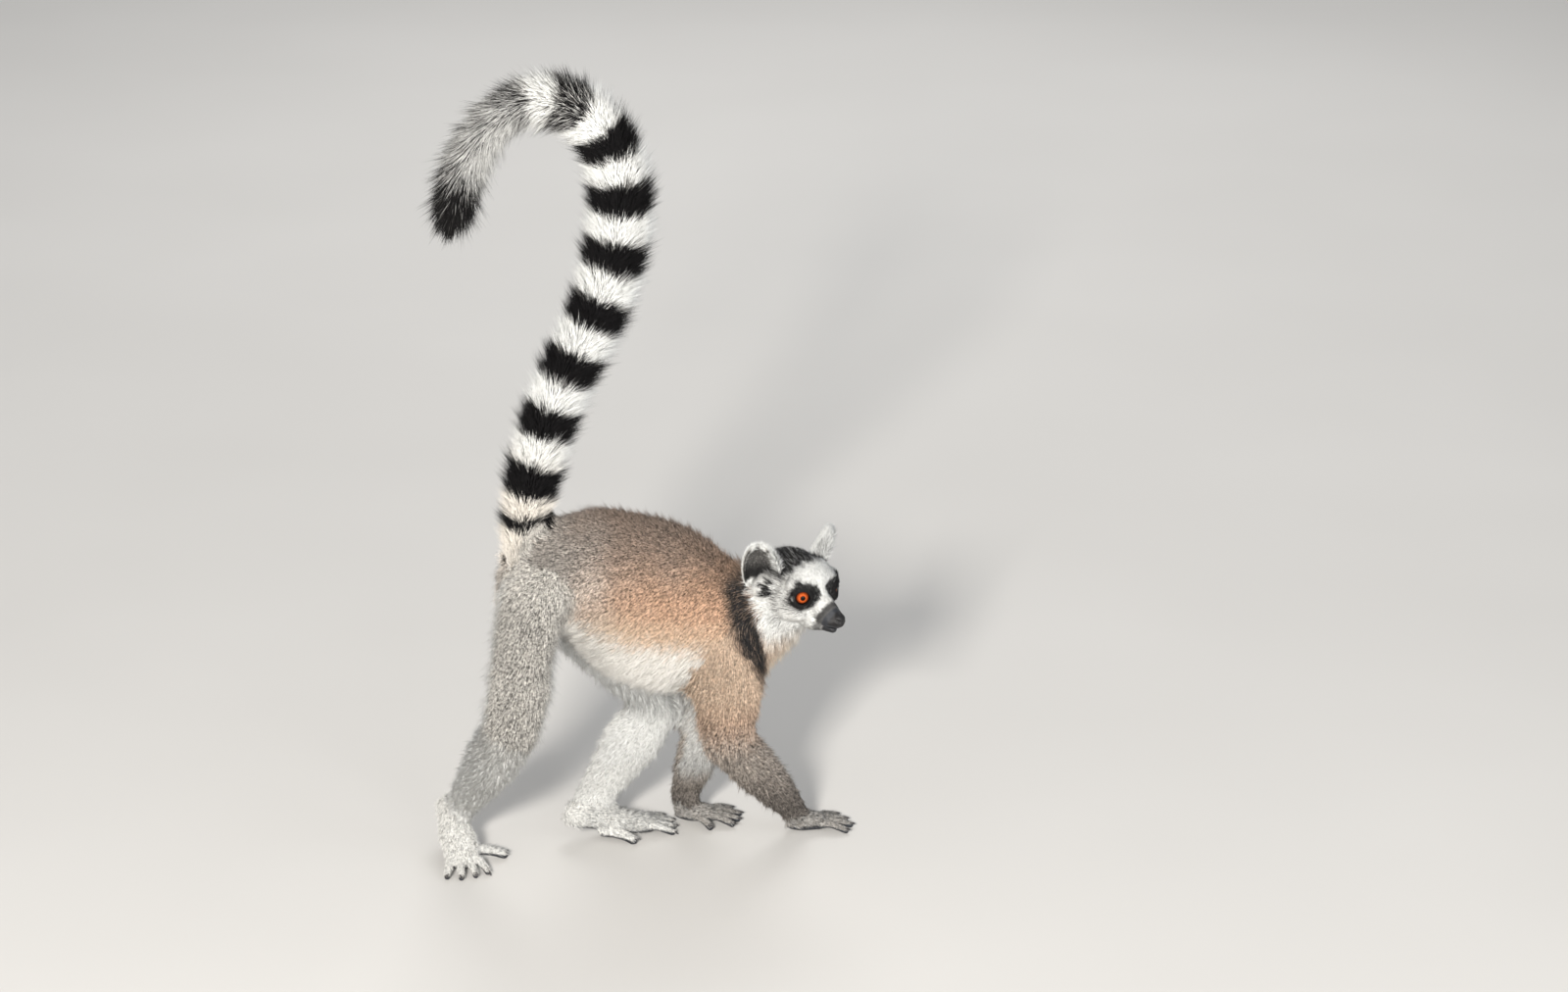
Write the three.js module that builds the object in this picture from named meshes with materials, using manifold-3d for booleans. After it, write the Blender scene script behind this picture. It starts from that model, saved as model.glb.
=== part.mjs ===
// Ring-tailed lemur, life size, walking: the right hind foot is behind and turned out, the left hind
// foot and the right hand are forward, the head looks to its right and the tail is up in a hook.
// Millimetres. +X is the way it walks, +Y its left, +Z up, and the hands and feet stand on z = 0.
// The surfaces are those of the coat, out to the tips of the hair.
import * as THREE from "three";
import { mergeVertices } from "three/addons/utils/BufferGeometryUtils.js";
import Module from "manifold-3d";

const wasm = await Module();
wasm.setup();

// ---------------------------------------------------------------- driving dimensions

const GAP = 0.3; // clearance between two parts that meet
const FLOOR = 0; // height of the flats under hands and feet
const UP = new THREE.Vector3(0, 0, 1);
const LEFTWARD = new THREE.Vector3(0, 1, 0);
const FORWARD = new THREE.Vector3(1, 0, 0);

const TAIL_LENGTHS = 8;
const EYE_RADIUS = 8;
const EYE_SPREAD = 17; // each eye's centre from the middle of the head
const EYE_TURN = 36; // degrees that each eye looks away from straight ahead
const EYE_OPENING = 6.2; // radius of the opening between the lids
const EYE_MOUND = 11.5; // radius of the dark ring of skin round an eye
const EAR_HEIGHT = 52;
const EAR_WIDTH = 18; // half the width of the open side
const EAR_DEPTH = 15;
const EAR_WALL = 4.6;
const EAR_TURN = 52; // degrees that the open side looks away from straight ahead

const HEAD = { at: [165, -47, 240], yaw: -60, pitch: 6, roll: -4 }; // the point between the eyes

// Each station is [x, z, half width, half height] across the spine, from the rump to the breast.
const TRUNK = [
  [-92, 254, 32, 29],
  [-78, 257, 45, 41],
  [-54, 260, 53, 51],
  [-14, 242, 60, 77],
  [30, 226, 61, 81],
  [66, 217, 57, 75],
  [98, 203, 48, 62],
  [120, 188, 38, 45],
];
const TRUNK_CUTS = { rump_belly: -45, belly_chest: 34 }; // x of the two cuts across the trunk

// Each station is [x, y, z, half width, half height] of the neck.
const NECK = [
  [92, 0, 211, 42, 48],
  [116, -3, 208, 41, 51],
  [134, -9, 214, 37, 46],
  [146, -14, 225, 31, 36],
];

// Each station is [x, y, z, radius] of the raised tail, from the rump to the tip.
const TAIL = [
  [-88, 0, 262, 22],
  [-85, 0, 300, 25],
  [-75, 0, 359, 28],
  [-52, 1, 429, 29],
  [-17, 3, 496, 30],
  [3, 5, 564, 32],
  [4, 6, 620, 31],
  [-17, 4, 667, 29],
  [-57, 0, 691, 27],
  [-100, -5, 680, 26],
  [-130, -9, 642, 24],
  [-143, -12, 602, 19],
];

const LEGS = {
  right: {
    side: -1,
    hip: [-80, -34, 258],
    knee: [-111, -53, 140],
    ankle: [-140, 22, 44],
    ball: [-150, -20],
    yaw: -90,
    lift: 14,
    turn: 0.9,
    grip: { root: [-18, 9], fan: 76, reach: 34 },
  },
  left: {
    side: 1,
    hip: [-50, 33, 240],
    knee: [45, 52, 108],
    ankle: [-25, 23, 31],
    ball: [24, 17],
    yaw: 2,
    lift: 4,
    turn: 0,
    grip: { root: [-40, 9], fan: 38, reach: 31 },
  },
};
const ARMS = {
  right: {
    side: -1,
    shoulder: [88, -34, 200],
    elbow: [86, -48, 107],
    wrist: [154, -18, 21],
    yaw: 0,
  },
  left: {
    side: 1,
    shoulder: [80, 34, 200],
    elbow: [95, 36, 107],
    wrist: [63, 30, 23],
    yaw: -14,
  },
};

// Share of the way from the upper joint to the lower, with the half width and half depth there.
const THIGH = [
  [0, 36, 42],
  [0.45, 31, 33],
  [1, 26, 26],
];
const SHANK = [
  [0.35, 24, 29],
  [0.7, 19, 22],
  [1, 16, 18],
];
const UPPER_ARM = [
  [0, 30, 38],
  [0.5, 26, 35],
  [1, 21, 26],
];
const FOREARM = [
  [0.35, 20, 23.5],
  [0.75, 16.5, 18.5],
  [1, 13, 14],
];

// In the frame of a foot or hand: x along it from the ball or wrist, y towards the big toe or thumb.
const FOOT = [
  [-68, 0, 18, 13, 13.5],
  [-52, 0, 18, 15, 15.5],
  [-30, 0, 13, 16, 12.5],
  [-8, 0, 8.5, 16, 9.5],
  [3, 0, 7, 14, 7.6],
];
const PALM = [
  [-4, 0, 14, 10.5, 12],
  [8, 0, 9.5, 11.5, 10.3],
  [24, 0, 7, 12, 7.6],
];
const TOE_REACH = [27, 30, 32, 28]; // from the second toe to the little one
const TOE_FAN = [20, 6, -8, -22];
const TOE_RADIUS = 4.2;
const BIG_TOE_RADIUS = 5.6;
const FINGER_REACH = [24, 28, 30, 24]; // from the first finger to the little one
const FINGER_FAN = [22, 6, -9, -28];
const FINGER_RADIUS = 3.9;
const THUMB = { root: [12, 9], fan: 50, reach: 21, radius: 4.2 };

// The head from the nape to between the eyes: [x, half width, top, bottom, taper towards the top].
const SKULL = [
  [-63, 17, 13, -15, 0.1],
  [-54, 27, 21, -26, 0.16],
  [-38, 34, 27, -33, 0.18],
  [-20, 36, 30, -35, 0.12],
  [-6, 34, 30, -34, -0.02],
  [5, 28, 22, -32, -0.08],
];
// The muzzle from between the eyes to the nose, in the same way.
const MUZZLE = [
  [-8, 22, 16, -36, 0.1],
  [6, 17, 9, -36, 0.15],
  [18, 13, 2, -34, 0.15],
  [30, 10.2, -4, -29, 0.08],
];
const NOSE_CUT = { x: 28, z: -7, tilt: 62 }; // where the bare nose leather begins

// ---------------------------------------------------------------- materials

const FUR = (color) => new THREE.MeshStandardMaterial({ color, roughness: 0.9, metalness: 0 });
const MATERIALS = {
  grey_fur: FUR(0x8f8b86),
  brown_fur: FUR(0xa5846a),
  white_fur: FUR(0xe9e6dd),
  tail_fur: FUR(0x4a4846),
  bare_skin: new THREE.MeshStandardMaterial({ color: 0x2b2a2c, roughness: 0.5, metalness: 0 }),
  eye: new THREE.MeshStandardMaterial({ color: 0xd4581e, roughness: 0.05, metalness: 0 }),
};

// ---------------------------------------------------------------- shape tools

const vec = (a) => new THREE.Vector3(...a);
const radians = THREE.MathUtils.degToRad;

// A closed geometry as a solid that can be joined and cut.
function solid(geometry) {
  geometry.deleteAttribute("normal");
  geometry.deleteAttribute("uv");
  const merged = mergeVertices(geometry, 1e-3);
  return new wasm.Manifold(
    new wasm.Mesh({
      numProp: 3,
      vertProperties: merged.attributes.position.array,
      triVerts: new Uint32Array(merged.index.array),
    }),
  );
}

function geometryOf(manifold) {
  const mesh = manifold.getMesh();
  const geometry = new THREE.BufferGeometry();
  geometry.setAttribute("position", new THREE.BufferAttribute(mesh.vertProperties, 3));
  geometry.setIndex(new THREE.BufferAttribute(mesh.triVerts, 1));
  return geometry;
}

// The largest body of a solid that a cut has left in pieces.
function largest(manifold) {
  return manifold.decompose().reduce((a, b) => (a.volume() > b.volume() ? a : b));
}

// The room a solid takes up, with the clearance round it.
function roomOf(manifold) {
  const geometry = geometryOf(manifold);
  geometry.computeVertexNormals();
  const { position, normal } = geometry.attributes;
  for (let i = 0; i < position.count; i++) {
    const out = new THREE.Vector3().fromBufferAttribute(position, i);
    out.addScaledVector(new THREE.Vector3().fromBufferAttribute(normal, i), GAP);
    position.setXYZ(i, out.x, out.y, out.z);
  }
  return solid(geometry);
}

// Each body claims its room, and a later body gives way to every earlier one.
const rooms = [];

function carved(manifold) {
  return rooms.reduce((rest, room) => rest.subtract(room), manifold);
}

function claim(manifold) {
  const body = carved(manifold);
  rooms.push(roomOf(manifold));
  return body;
}

// Closed skin over rings of equal length, with a point at each end.
function skinOver(rings, first, last) {
  const sides = rings[0].length;
  const points = [first, ...rings.flat(), last];
  const index = [];
  const at = (ring, side) => 1 + ring * sides + (side % sides);
  for (let s = 0; s < sides; s++) {
    index.push(0, at(0, s + 1), at(0, s));
    index.push(points.length - 1, at(rings.length - 1, s), at(rings.length - 1, s + 1));
    for (let r = 0; r + 1 < rings.length; r++) {
      index.push(at(r, s), at(r, s + 1), at(r + 1, s));
      index.push(at(r, s + 1), at(r + 1, s + 1), at(r + 1, s));
    }
  }
  return new THREE.BufferGeometry().setFromPoints(points).setIndex(index);
}

// A tube through the stations with an oval section at each, closed by a dome at both ends.
// station: { at, wide, deep, taper }. across: the direction of the width. facing: what every section
// faces, where it isn't the way the tube runs.
function sweep(stations, options) {
  const { sides = 12, steps = 1, across = LEFTWARD, facing, domes, fine = true } = options;
  const line = new THREE.CatmullRomCurve3(stations.map((s) => s.at));
  const sizes = new THREE.CatmullRomCurve3(
    stations.map((s) => new THREE.Vector3(s.wide, s.deep, s.taper ?? 0)),
  );
  const oval = (t, shrink, shift) => {
    const tangent = facing ?? line.getTangent(t);
    const size = sizes.getPoint(t);
    const wide = across.clone().addScaledVector(tangent, -across.dot(tangent)).normalize();
    const deep = tangent.clone().cross(wide);
    const middle = line.getPoint(t).addScaledVector(tangent, shift * Math.min(size.x, size.y));
    return Array.from({ length: sides }, (_, i) => {
      const a = (2 * Math.PI * i) / sides;
      const half = size.x * shrink * (1 - size.z * Math.sin(a));
      return middle
        .clone()
        .addScaledVector(wide, half * Math.cos(a))
        .addScaledVector(deep, size.y * shrink * Math.sin(a));
    });
  };
  const tip = (t, shift) => oval(t, 0, shift)[0];
  const rings = [];
  const bend = fine ? [radians(58), radians(30)] : [radians(45)]; // where each dome's rings lie
  bend.forEach((a) => rings.push(oval(0, Math.cos(a), -domes[0] * Math.sin(a))));
  const last = steps * (stations.length - 1);
  for (let i = 0; i <= last; i++) rings.push(oval(i / last, 1, 0));
  bend.reverse().forEach((a) => rings.push(oval(1, Math.cos(a), domes[1] * Math.sin(a))));
  return solid(skinOver(rings, tip(0, -domes[0]), tip(1, domes[1])));
}

// The two sides of a thin plane cut, with the one ahead of it first.
function cut(manifold, point, normal) {
  const n = vec(normal).normalize();
  const offset = n.dot(vec(point));
  const back = n.clone().negate();
  return [
    manifold.trimByPlane(n.toArray(), offset + GAP / 2),
    manifold.trimByPlane(back.toArray(), -offset + GAP / 2),
  ];
}

const aboveFloor = (manifold) => manifold.trimByPlane(UP.toArray(), FLOOR);
const between = (a, b, share) => vec(a).lerp(vec(b), share);

// ---------------------------------------------------------------- trunk, neck and tail

const sized = (at, wide, deep, taper) => ({ at, wide, deep, taper });

const trunk = () =>
  sweep(
    TRUNK.map(([x, z, wide, deep]) => sized(new THREE.Vector3(x, 0, z), wide, deep)),
    { sides: 16, steps: 2, facing: FORWARD, domes: [0.7, 0.62] },
  );

const neck = () =>
  sweep(
    NECK.map(([x, y, z, wide, deep]) => sized(new THREE.Vector3(x, y, z), wide, deep)),
    { sides: 16, domes: [0.5, 0.5] },
  );

const tail = () =>
  sweep(
    TAIL.map(([x, y, z, r]) => sized(new THREE.Vector3(x, y, z), r, r)),
    { sides: 10, steps: 2, domes: [0.3, 1.5] },
  );

// ---------------------------------------------------------------- limbs

function limb(upper, joint, lower, upperSizes, lowerSizes, across) {
  const station = (from, to) => ([share, wide, deep]) => sized(between(from, to, share), wide, deep);
  const stations = [
    ...upperSizes.map(station(upper, joint)),
    ...lowerSizes.map(station(joint, lower)),
  ];
  return sweep(stations, { across, domes: [0.7, 0.9] });
}

// The plane through a bent joint that halves its angle.
function halving(upper, joint, lower) {
  const down = vec(joint).sub(vec(upper)).normalize();
  const on = vec(lower).sub(vec(joint)).normalize();
  return down.add(on).toArray();
}

// Places what is modelled along +X from a ball or wrist: turned by yaw, and mirrored on a right limb.
function placed(manifold, [x, y], yaw, side) {
  const turned = side > 0 ? manifold.scale([1, -1, 1]) : manifold;
  return turned.rotate([0, 0, yaw]).translate([x, y, 0]);
}

// A finger or toe from its root on a foot or hand, with a flat under its tip.
function digit({ root, fan, reach }, radius, knuckle) {
  const heading = new THREE.Vector3(Math.cos(radians(fan)), Math.sin(radians(fan)), 0);
  const point = (share, z) => vec([root[0], root[1], z]).addScaledVector(heading, reach * share);
  const stations = [
    sized(point(-0.12, knuckle), radius, radius),
    sized(point(0.3, knuckle + 1), radius, radius),
    sized(point(0.68, radius + 0.9), radius * 0.92, radius * 0.92),
    sized(point(0.92, radius * 0.62), radius * 0.95, radius * 0.85),
  ];
  const across = new THREE.Vector3(-heading.y, heading.x, 0);
  return sweep(stations, { sides: 6, across, domes: [0.4, 0.9], fine: false });
}

function footSole(lift) {
  const stations = FOOT.map(([x, y, z, wide, deep]) =>
    sized(new THREE.Vector3(x, y, z).applyAxisAngle(LEFTWARD, radians(lift)), wide, deep),
  );
  return sweep(stations, { sides: 10, domes: [0.8, 0.6] });
}

const palmPad = () =>
  sweep(
    PALM.map(([x, y, z, wide, deep]) => sized(new THREE.Vector3(x, y, z), wide, deep)),
    { sides: 10, domes: [0.5, 0.5] },
  );

// ---------------------------------------------------------------- head

const headStations = (rows) =>
  rows.map(([x, wide, top, bottom, taper]) =>
    sized(new THREE.Vector3(x, 0, (top + bottom) / 2), wide, (top - bottom) / 2, taper),
  );

function skull() {
  const mound = solid(new THREE.SphereGeometry(EYE_MOUND, 12, 8));
  return sweep(headStations(SKULL), { sides: 16, facing: FORWARD, domes: [0.7, 0.5] })
    .add(sweep(headStations(MUZZLE), { sides: 12, facing: FORWARD, domes: [0.2, 0.75] }))
    .add(mound.translate([0, EYE_SPREAD, 0]))
    .add(mound.translate([0, -EYE_SPREAD, 0]));
}

const eyeball = (radius) => solid(new THREE.SphereGeometry(radius, 12, 8));

// The opening that shows an eye, along its line of sight.
function lidOpening() {
  const reach = 14;
  const cone = new THREE.CylinderGeometry(EYE_OPENING + 1.5, EYE_OPENING, reach, 12);
  cone.translate(0, reach / 2 + 3, 0).rotateZ(-Math.PI / 2);
  return solid(cone);
}

const eyePlace = (manifold, side) =>
  manifold.rotate([0, -4, side * EYE_TURN]).translate([0, side * EYE_SPREAD, 0]);

// An ear is a tall cup: each level is a crescent, open towards +X, and the levels close at the tip.
function ear() {
  const levels = 6;
  const around = 5;
  const rings = [];
  for (let l = 0; l <= levels; l++) {
    const t = l / levels;
    const width = EAR_WIDTH * Math.max(0.02, Math.sin(Math.PI * (0.27 + 0.72 * t))) ** 0.4;
    const depth = EAR_DEPTH * (1 - 0.5 * t);
    const wall = EAR_WALL * (1.25 - 0.6 * t);
    const arc = (half, back) =>
      Array.from({ length: around + 1 }, (_, i) => {
        const a = Math.PI * (i / around - 0.5);
        return new THREE.Vector3(-back * Math.cos(a), half * Math.sin(a), EAR_HEIGHT * t);
      });
    const outer = arc(width, depth);
    const inner = arc(width - wall * 0.75, depth - wall).reverse();
    rings.push([...outer, ...inner].reverse());
  }
  const mid = Math.floor(around / 2);
  const endPoint = (ring, dz) =>
    ring[mid].clone().lerp(ring[ring.length - 1 - mid], 0.5).add(UP.clone().multiplyScalar(dz));
  return solid(skinOver(rings, endPoint(rings[0], -0.5), endPoint(rings[levels], 0.8)));
}

const earPlace = (manifold, side) =>
  manifold
    .rotate([0, 0, side * EAR_TURN])
    .rotate([side * -18, 0, 0])
    .translate([-32, side * 31, -5]);

const inHead = (manifold) =>
  manifold
    .rotate([HEAD.roll, HEAD.pitch, 0])
    .rotate([0, 0, HEAD.yaw])
    .translate(HEAD.at);

// ---------------------------------------------------------------- assembly

const lemur = new THREE.Group();
lemur.name = "lemur";

function add(name, manifold, material) {
  const mesh = new THREE.Mesh(geometryOf(largest(manifold)), MATERIALS[material]);
  mesh.name = name;
  lemur.add(mesh);
}

function addHead() {
  const sides = { right: -1, left: 1 };
  claim(inHead(skull()));
  let whole = skull();
  for (const side of Object.values(sides)) {
    whole = whole.subtract(eyePlace(eyeball(EYE_RADIUS + GAP), side));
    whole = whole.subtract(eyePlace(lidOpening(), side));
  }
  const normal = [Math.sin(radians(NOSE_CUT.tilt)), 0, Math.cos(radians(NOSE_CUT.tilt))];
  const [nose, head] = cut(whole, [NOSE_CUT.x, 0, NOSE_CUT.z], normal);
  add("head", inHead(head), "white_fur");
  add("nose", inHead(nose), "bare_skin");
  for (const [name, side] of Object.entries(sides)) {
    add("eye_" + name, inHead(eyePlace(eyeball(EYE_RADIUS), side)), "eye");
  }
}

function addTrunk() {
  const [front, rump] = cut(claim(trunk()), [TRUNK_CUTS.rump_belly, 0, 0], [1, 0, 0]);
  const [chest, belly] = cut(front, [TRUNK_CUTS.belly_chest, 0, 0], [1, 0, 0]);
  add("rump", rump, "grey_fur");
  add("belly", belly, "brown_fur");
  add("chest", chest, "brown_fur");
}

function addEars() {
  add("ear_right", claim(inHead(earPlace(ear(), -1))), "white_fur");
  add("ear_left", claim(inHead(earPlace(ear(), 1))), "white_fur");
}

function addTail() {
  const line = new THREE.CatmullRomCurve3(TAIL.map(([x, y, z]) => new THREE.Vector3(x, y, z)));
  let rest = claim(tail());
  for (let i = 1; i < TAIL_LENGTHS; i++) {
    const t = 0.06 + (0.94 * i) / TAIL_LENGTHS;
    const reach = 45;
    const tangent = line.getTangent(t);
    const here = line.getPoint(t);
    const slab = new THREE.BoxGeometry(GAP, 2 * reach, 2 * reach);
    slab.applyQuaternion(new THREE.Quaternion().setFromUnitVectors(FORWARD, tangent));
    slab.translate(...here.toArray());
    rest = rest.subtract(solid(slab));
  }
  const spots = (body) => {
    const box = body.boundingBox();
    const middle = vec(box.min).add(vec(box.max)).divideScalar(2);
    let best = 0;
    for (let k = 0; k <= 200; k++) {
      if (line.getPoint(k / 200).distanceTo(middle) < line.getPoint(best).distanceTo(middle)) best = k / 200;
    }
    return best;
  };
  rest
    .decompose()
    .filter((body) => body.volume() > 500)
    .sort((a, b) => spots(a) - spots(b))
    .forEach((body, i) => add("tail_" + (i + 1), body, "tail_fur"));
}

function addDigits(name, place, digits, knuckle, material) {
  digits.forEach(({ radius, ...digitSizes }, i) => {
    const body = aboveFloor(claim(place(digit(digitSizes, radius, knuckle))));
    add(name + "_" + (i + 1), body, material);
  });
}

function addLeg(name, leg) {
  const across = LEFTWARD.clone().lerp(FORWARD, leg.turn).normalize();
  const place = (shape) => placed(shape, leg.ball, leg.yaw, leg.side);
  add("foot_" + name, aboveFloor(claim(place(footSole(leg.lift)))), "white_fur");
  const whole = claim(limb(leg.hip, leg.knee, leg.ankle, THIGH, SHANK, across));
  const [shank, thigh] = cut(whole, leg.knee, halving(leg.hip, leg.knee, leg.ankle));
  add("thigh_" + name, thigh, "grey_fur");
  add("shank_" + name, shank, "grey_fur");
  const toes = TOE_REACH.map((reach, i) => {
    const root = [-2, 9.5 - 6.3 * i];
    return { root, fan: TOE_FAN[i], reach, radius: TOE_RADIUS };
  });
  const all = [{ ...leg.grip, radius: BIG_TOE_RADIUS }, ...toes];
  addDigits("toe_" + name, place, all, 7.3, "white_fur");
}

function addArm(name, arm) {
  const place = (shape) => placed(shape, arm.wrist, arm.yaw, arm.side);
  add("hand_" + name, aboveFloor(claim(place(palmPad()))), "grey_fur");
  const whole = claim(limb(arm.shoulder, arm.elbow, arm.wrist, UPPER_ARM, FOREARM, LEFTWARD));
  const [forearm, upper] = cut(whole, arm.elbow, halving(arm.shoulder, arm.elbow, arm.wrist));
  add("upper_arm_" + name, upper, "brown_fur");
  add("forearm_" + name, forearm, "grey_fur");
  const fingers = FINGER_REACH.map((reach, i) => {
    const root = [24, 8.7 - 5.8 * i];
    return { root, fan: FINGER_FAN[i], reach, radius: FINGER_RADIUS };
  });
  addDigits("finger_" + name, place, [THUMB, ...fingers], 6.5, "grey_fur");
}

addHead();
addTrunk();
add("neck", claim(neck()), "grey_fur");
addEars();
addTail();
for (const [name, leg] of Object.entries(LEGS)) addLeg(name, leg);
for (const [name, arm] of Object.entries(ARMS)) addArm(name, arm);

// The origin is on the floor, under the middle of the animal's box.
const box = new THREE.Box3().setFromObject(lemur);
const middle = box.getCenter(new THREE.Vector3());
lemur.position.set(-middle.x, -middle.y, 0);

export default lemur;
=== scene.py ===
"""A ring-tailed lemur at life size, walking, with its tail held up: skin, coat, eyes and nails.

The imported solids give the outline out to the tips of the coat. One skin is drawn inside them by the
depth of the coat, the head is modelled on the line between the eyes, and tufts grow from the skin.
"""

import math

import bpy
import numpy as np
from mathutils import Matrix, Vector
from mathutils.bvhtree import BVHTree


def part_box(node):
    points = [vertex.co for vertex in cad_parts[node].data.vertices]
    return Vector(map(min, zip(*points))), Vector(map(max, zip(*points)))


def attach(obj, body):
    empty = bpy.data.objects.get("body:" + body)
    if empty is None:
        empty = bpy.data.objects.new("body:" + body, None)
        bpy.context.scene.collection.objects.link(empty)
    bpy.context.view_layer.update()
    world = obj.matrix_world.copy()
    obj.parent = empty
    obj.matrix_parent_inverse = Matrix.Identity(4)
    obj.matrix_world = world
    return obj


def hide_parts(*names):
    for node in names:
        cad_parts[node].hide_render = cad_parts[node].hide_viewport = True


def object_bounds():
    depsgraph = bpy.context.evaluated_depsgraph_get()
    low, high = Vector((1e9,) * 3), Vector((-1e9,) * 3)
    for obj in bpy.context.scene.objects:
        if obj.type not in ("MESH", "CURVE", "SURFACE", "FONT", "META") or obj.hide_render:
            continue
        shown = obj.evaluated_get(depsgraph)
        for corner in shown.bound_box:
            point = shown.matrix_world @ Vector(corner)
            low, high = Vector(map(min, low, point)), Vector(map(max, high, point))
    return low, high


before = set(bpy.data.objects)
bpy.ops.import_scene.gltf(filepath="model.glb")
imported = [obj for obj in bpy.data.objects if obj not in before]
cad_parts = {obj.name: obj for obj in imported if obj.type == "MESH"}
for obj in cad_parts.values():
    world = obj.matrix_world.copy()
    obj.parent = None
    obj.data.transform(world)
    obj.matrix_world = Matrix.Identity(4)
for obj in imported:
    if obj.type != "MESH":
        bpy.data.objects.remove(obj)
cad_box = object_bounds()

# ---------------------------------------------------------------- sizes

MM = 0.001
SEED = 11
rng = np.random.default_rng(SEED)

BODY_GRAIN = 3.4 * MM  # cell of the mesh under the long coat
HAND_GRAIN = 1.2 * MM  # cell of the mesh of hands and feet
HEAD_GRAIN = 1.0  # cell of the head's mesh, in the head's own millimetres

SIDES = ("right", "left")
DIGITS = range(1, 6)
TAIL_NODES = [f"tail_{i}" for i in range(1, 9)]
FLESH = [name for name in sorted(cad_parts) if not name.startswith("eye_")]

# Coat of each part: depth of the coat over the skin, length and width of a tuft, spacing of the roots
# (millimetres), and how steeply the tufts stand off the skin (degrees). head_coat gives the head's tufts.
DEPTH, LENGTH, WIDTH, SPACING, LIFT = range(5)
COAT = {
    "rump": (4.0, 10.0, 0.9, 0.97, 26),
    "belly": (4.0, 10.0, 0.9, 0.97, 26),
    "chest": (4.0, 10.0, 0.9, 0.97, 26),
    "neck": (5.0, 12.0, 0.8, 0.9, 30),
    "head": (9.0, 0, 0, 0, 0),
    "nose": (9.0, 0, 0, 0, 0),
    "ear": (1.0, 3.0, 0.6, 0.8, 22),
    "tail": (11.5, 19.0, 0.95, 1.02, 42),
    "thigh": (4.0, 9.5, 0.86, 0.95, 25),
    "shank": (3.6, 9.0, 0.82, 0.93, 24),
    "foot": (1.8, 6.0, 0.7, 0.85, 24),
    "toe": (0.9, 4.4, 0.5, 0.66, 22),
    "upper_arm": (4.0, 9.5, 0.86, 0.95, 25),
    "forearm": (3.3, 8.0, 0.8, 0.9, 23),
    "hand": (1.5, 4.5, 0.62, 0.78, 20),
    "finger": (0.7, 3.4, 0.45, 0.62, 20),
}
PARTS = list(COAT)
TRUNK = ("rump", "belly", "chest", "neck")

TAIL_RINGS = 9  # white rings, from the tail's root
TAIL_FIRST_RING = 38 * MM  # middle of the first one along the tail
TAIL_RING_STEP = 52.3 * MM
TAIL_GREY_FROM = 468 * MM  # past here the rings run into a grizzled grey
TAIL_TIP_FROM = 566 * MM  # and the last length is nearly black
TAIL_END_LIFT = 30  # degrees, where the coat lies closer again

NOSE_DROP = math.radians(22.3)  # the nose lies this far below the line of sight
EYE_SPREAD = 17.0  # millimetres from the middle of the head to each eye's centre
EYE_TURN = math.radians(36)  # each eye looks this far outwards
EYE_LIFT = math.radians(4)  # and this far upwards
EYE_BALL = 8.0  # radius of the round hollow that holds the eyeball
LID_OPENING = 6.1  # half the width of the opening between the lids
LID_CREASE = 9.9  # radius of the crease round the lids
EYE_CLEARANCE = 0.4  # how much smaller the eyeball's radius is
CORNEA_RISE = 0.5  # how far the cornea stands out of the ball
CORNEA_ANGLE = math.radians(44)  # from the line of sight to the cornea's edge

# Length, width and how far the tip bends down, in millimetres.
FLAT_NAIL = (5.2, 4.0, 1.0)
GROOMING_CLAW = (7.5, 2.6, 1.2)
NAIL_THICKNESS = 0.45 * MM
NAIL_SET_BACK = 4.2 * MM  # from the end of the digit to the nail's root
FLOOR_GAP = 0.3 * MM  # tufts and nails stay this far above the floor


# ---------------------------------------------------------------- small helpers


def unit(v):
    return v / np.maximum(np.linalg.norm(v, axis=-1, keepdims=True), 1e-12)


def ramp(x, low, high):
    """0 below low, 1 above high, smooth between them; low may be the larger."""
    t = np.clip((x - low) / (high - low), 0, 1)
    return t * t * (3 - 2 * t)


def bump(x, middle, width):
    """1 at the middle, falling smoothly to nothing at about twice the width from it."""
    return np.exp(-(((x - middle) / width) ** 2))


def mix(a, b, t):
    return a + (b - a) * t


def kind(node):
    """rump, tail, thigh and so on: what a node is, without its side and number."""
    return next(p for p in sorted(PARTS, key=len, reverse=True) if node.startswith(p))


def node_mesh(node):
    """A node's points, merged, and its triangles."""
    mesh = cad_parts[node].data
    mesh.calc_loop_triangles()
    points = np.empty(len(mesh.vertices) * 3)
    mesh.vertices.foreach_get("co", points)
    triangles = np.empty(len(mesh.loop_triangles) * 3, int)
    mesh.loop_triangles.foreach_get("vertices", triangles)
    points = points.reshape(-1, 3)
    _, first, back = np.unique(np.round(points / MM, 2), axis=0, return_index=True, return_inverse=True)
    return points[first], back.reshape(-1)[triangles].reshape(-1, 3)


SOLIDS = {name: node_mesh(name) for name in sorted(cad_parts)}


def middle(node):
    low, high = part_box(node)
    return (np.array(low) + np.array(high)) / 2


def meeting(a, b, reach=2.5 * MM):
    """The middle of the face at which node a meets node b."""
    p, q = SOLIDS[a][0], SOLIDS[b][0]
    near = np.sqrt(((p[:, None] - q[None]) ** 2).sum(2)).min(1)
    return p[near < max(reach, near.min() * 1.2)].mean(0)


def farthest(node, start):
    points = SOLIDS[node][0]
    return points[np.linalg.norm(points - start, axis=1).argmax()]


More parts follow.
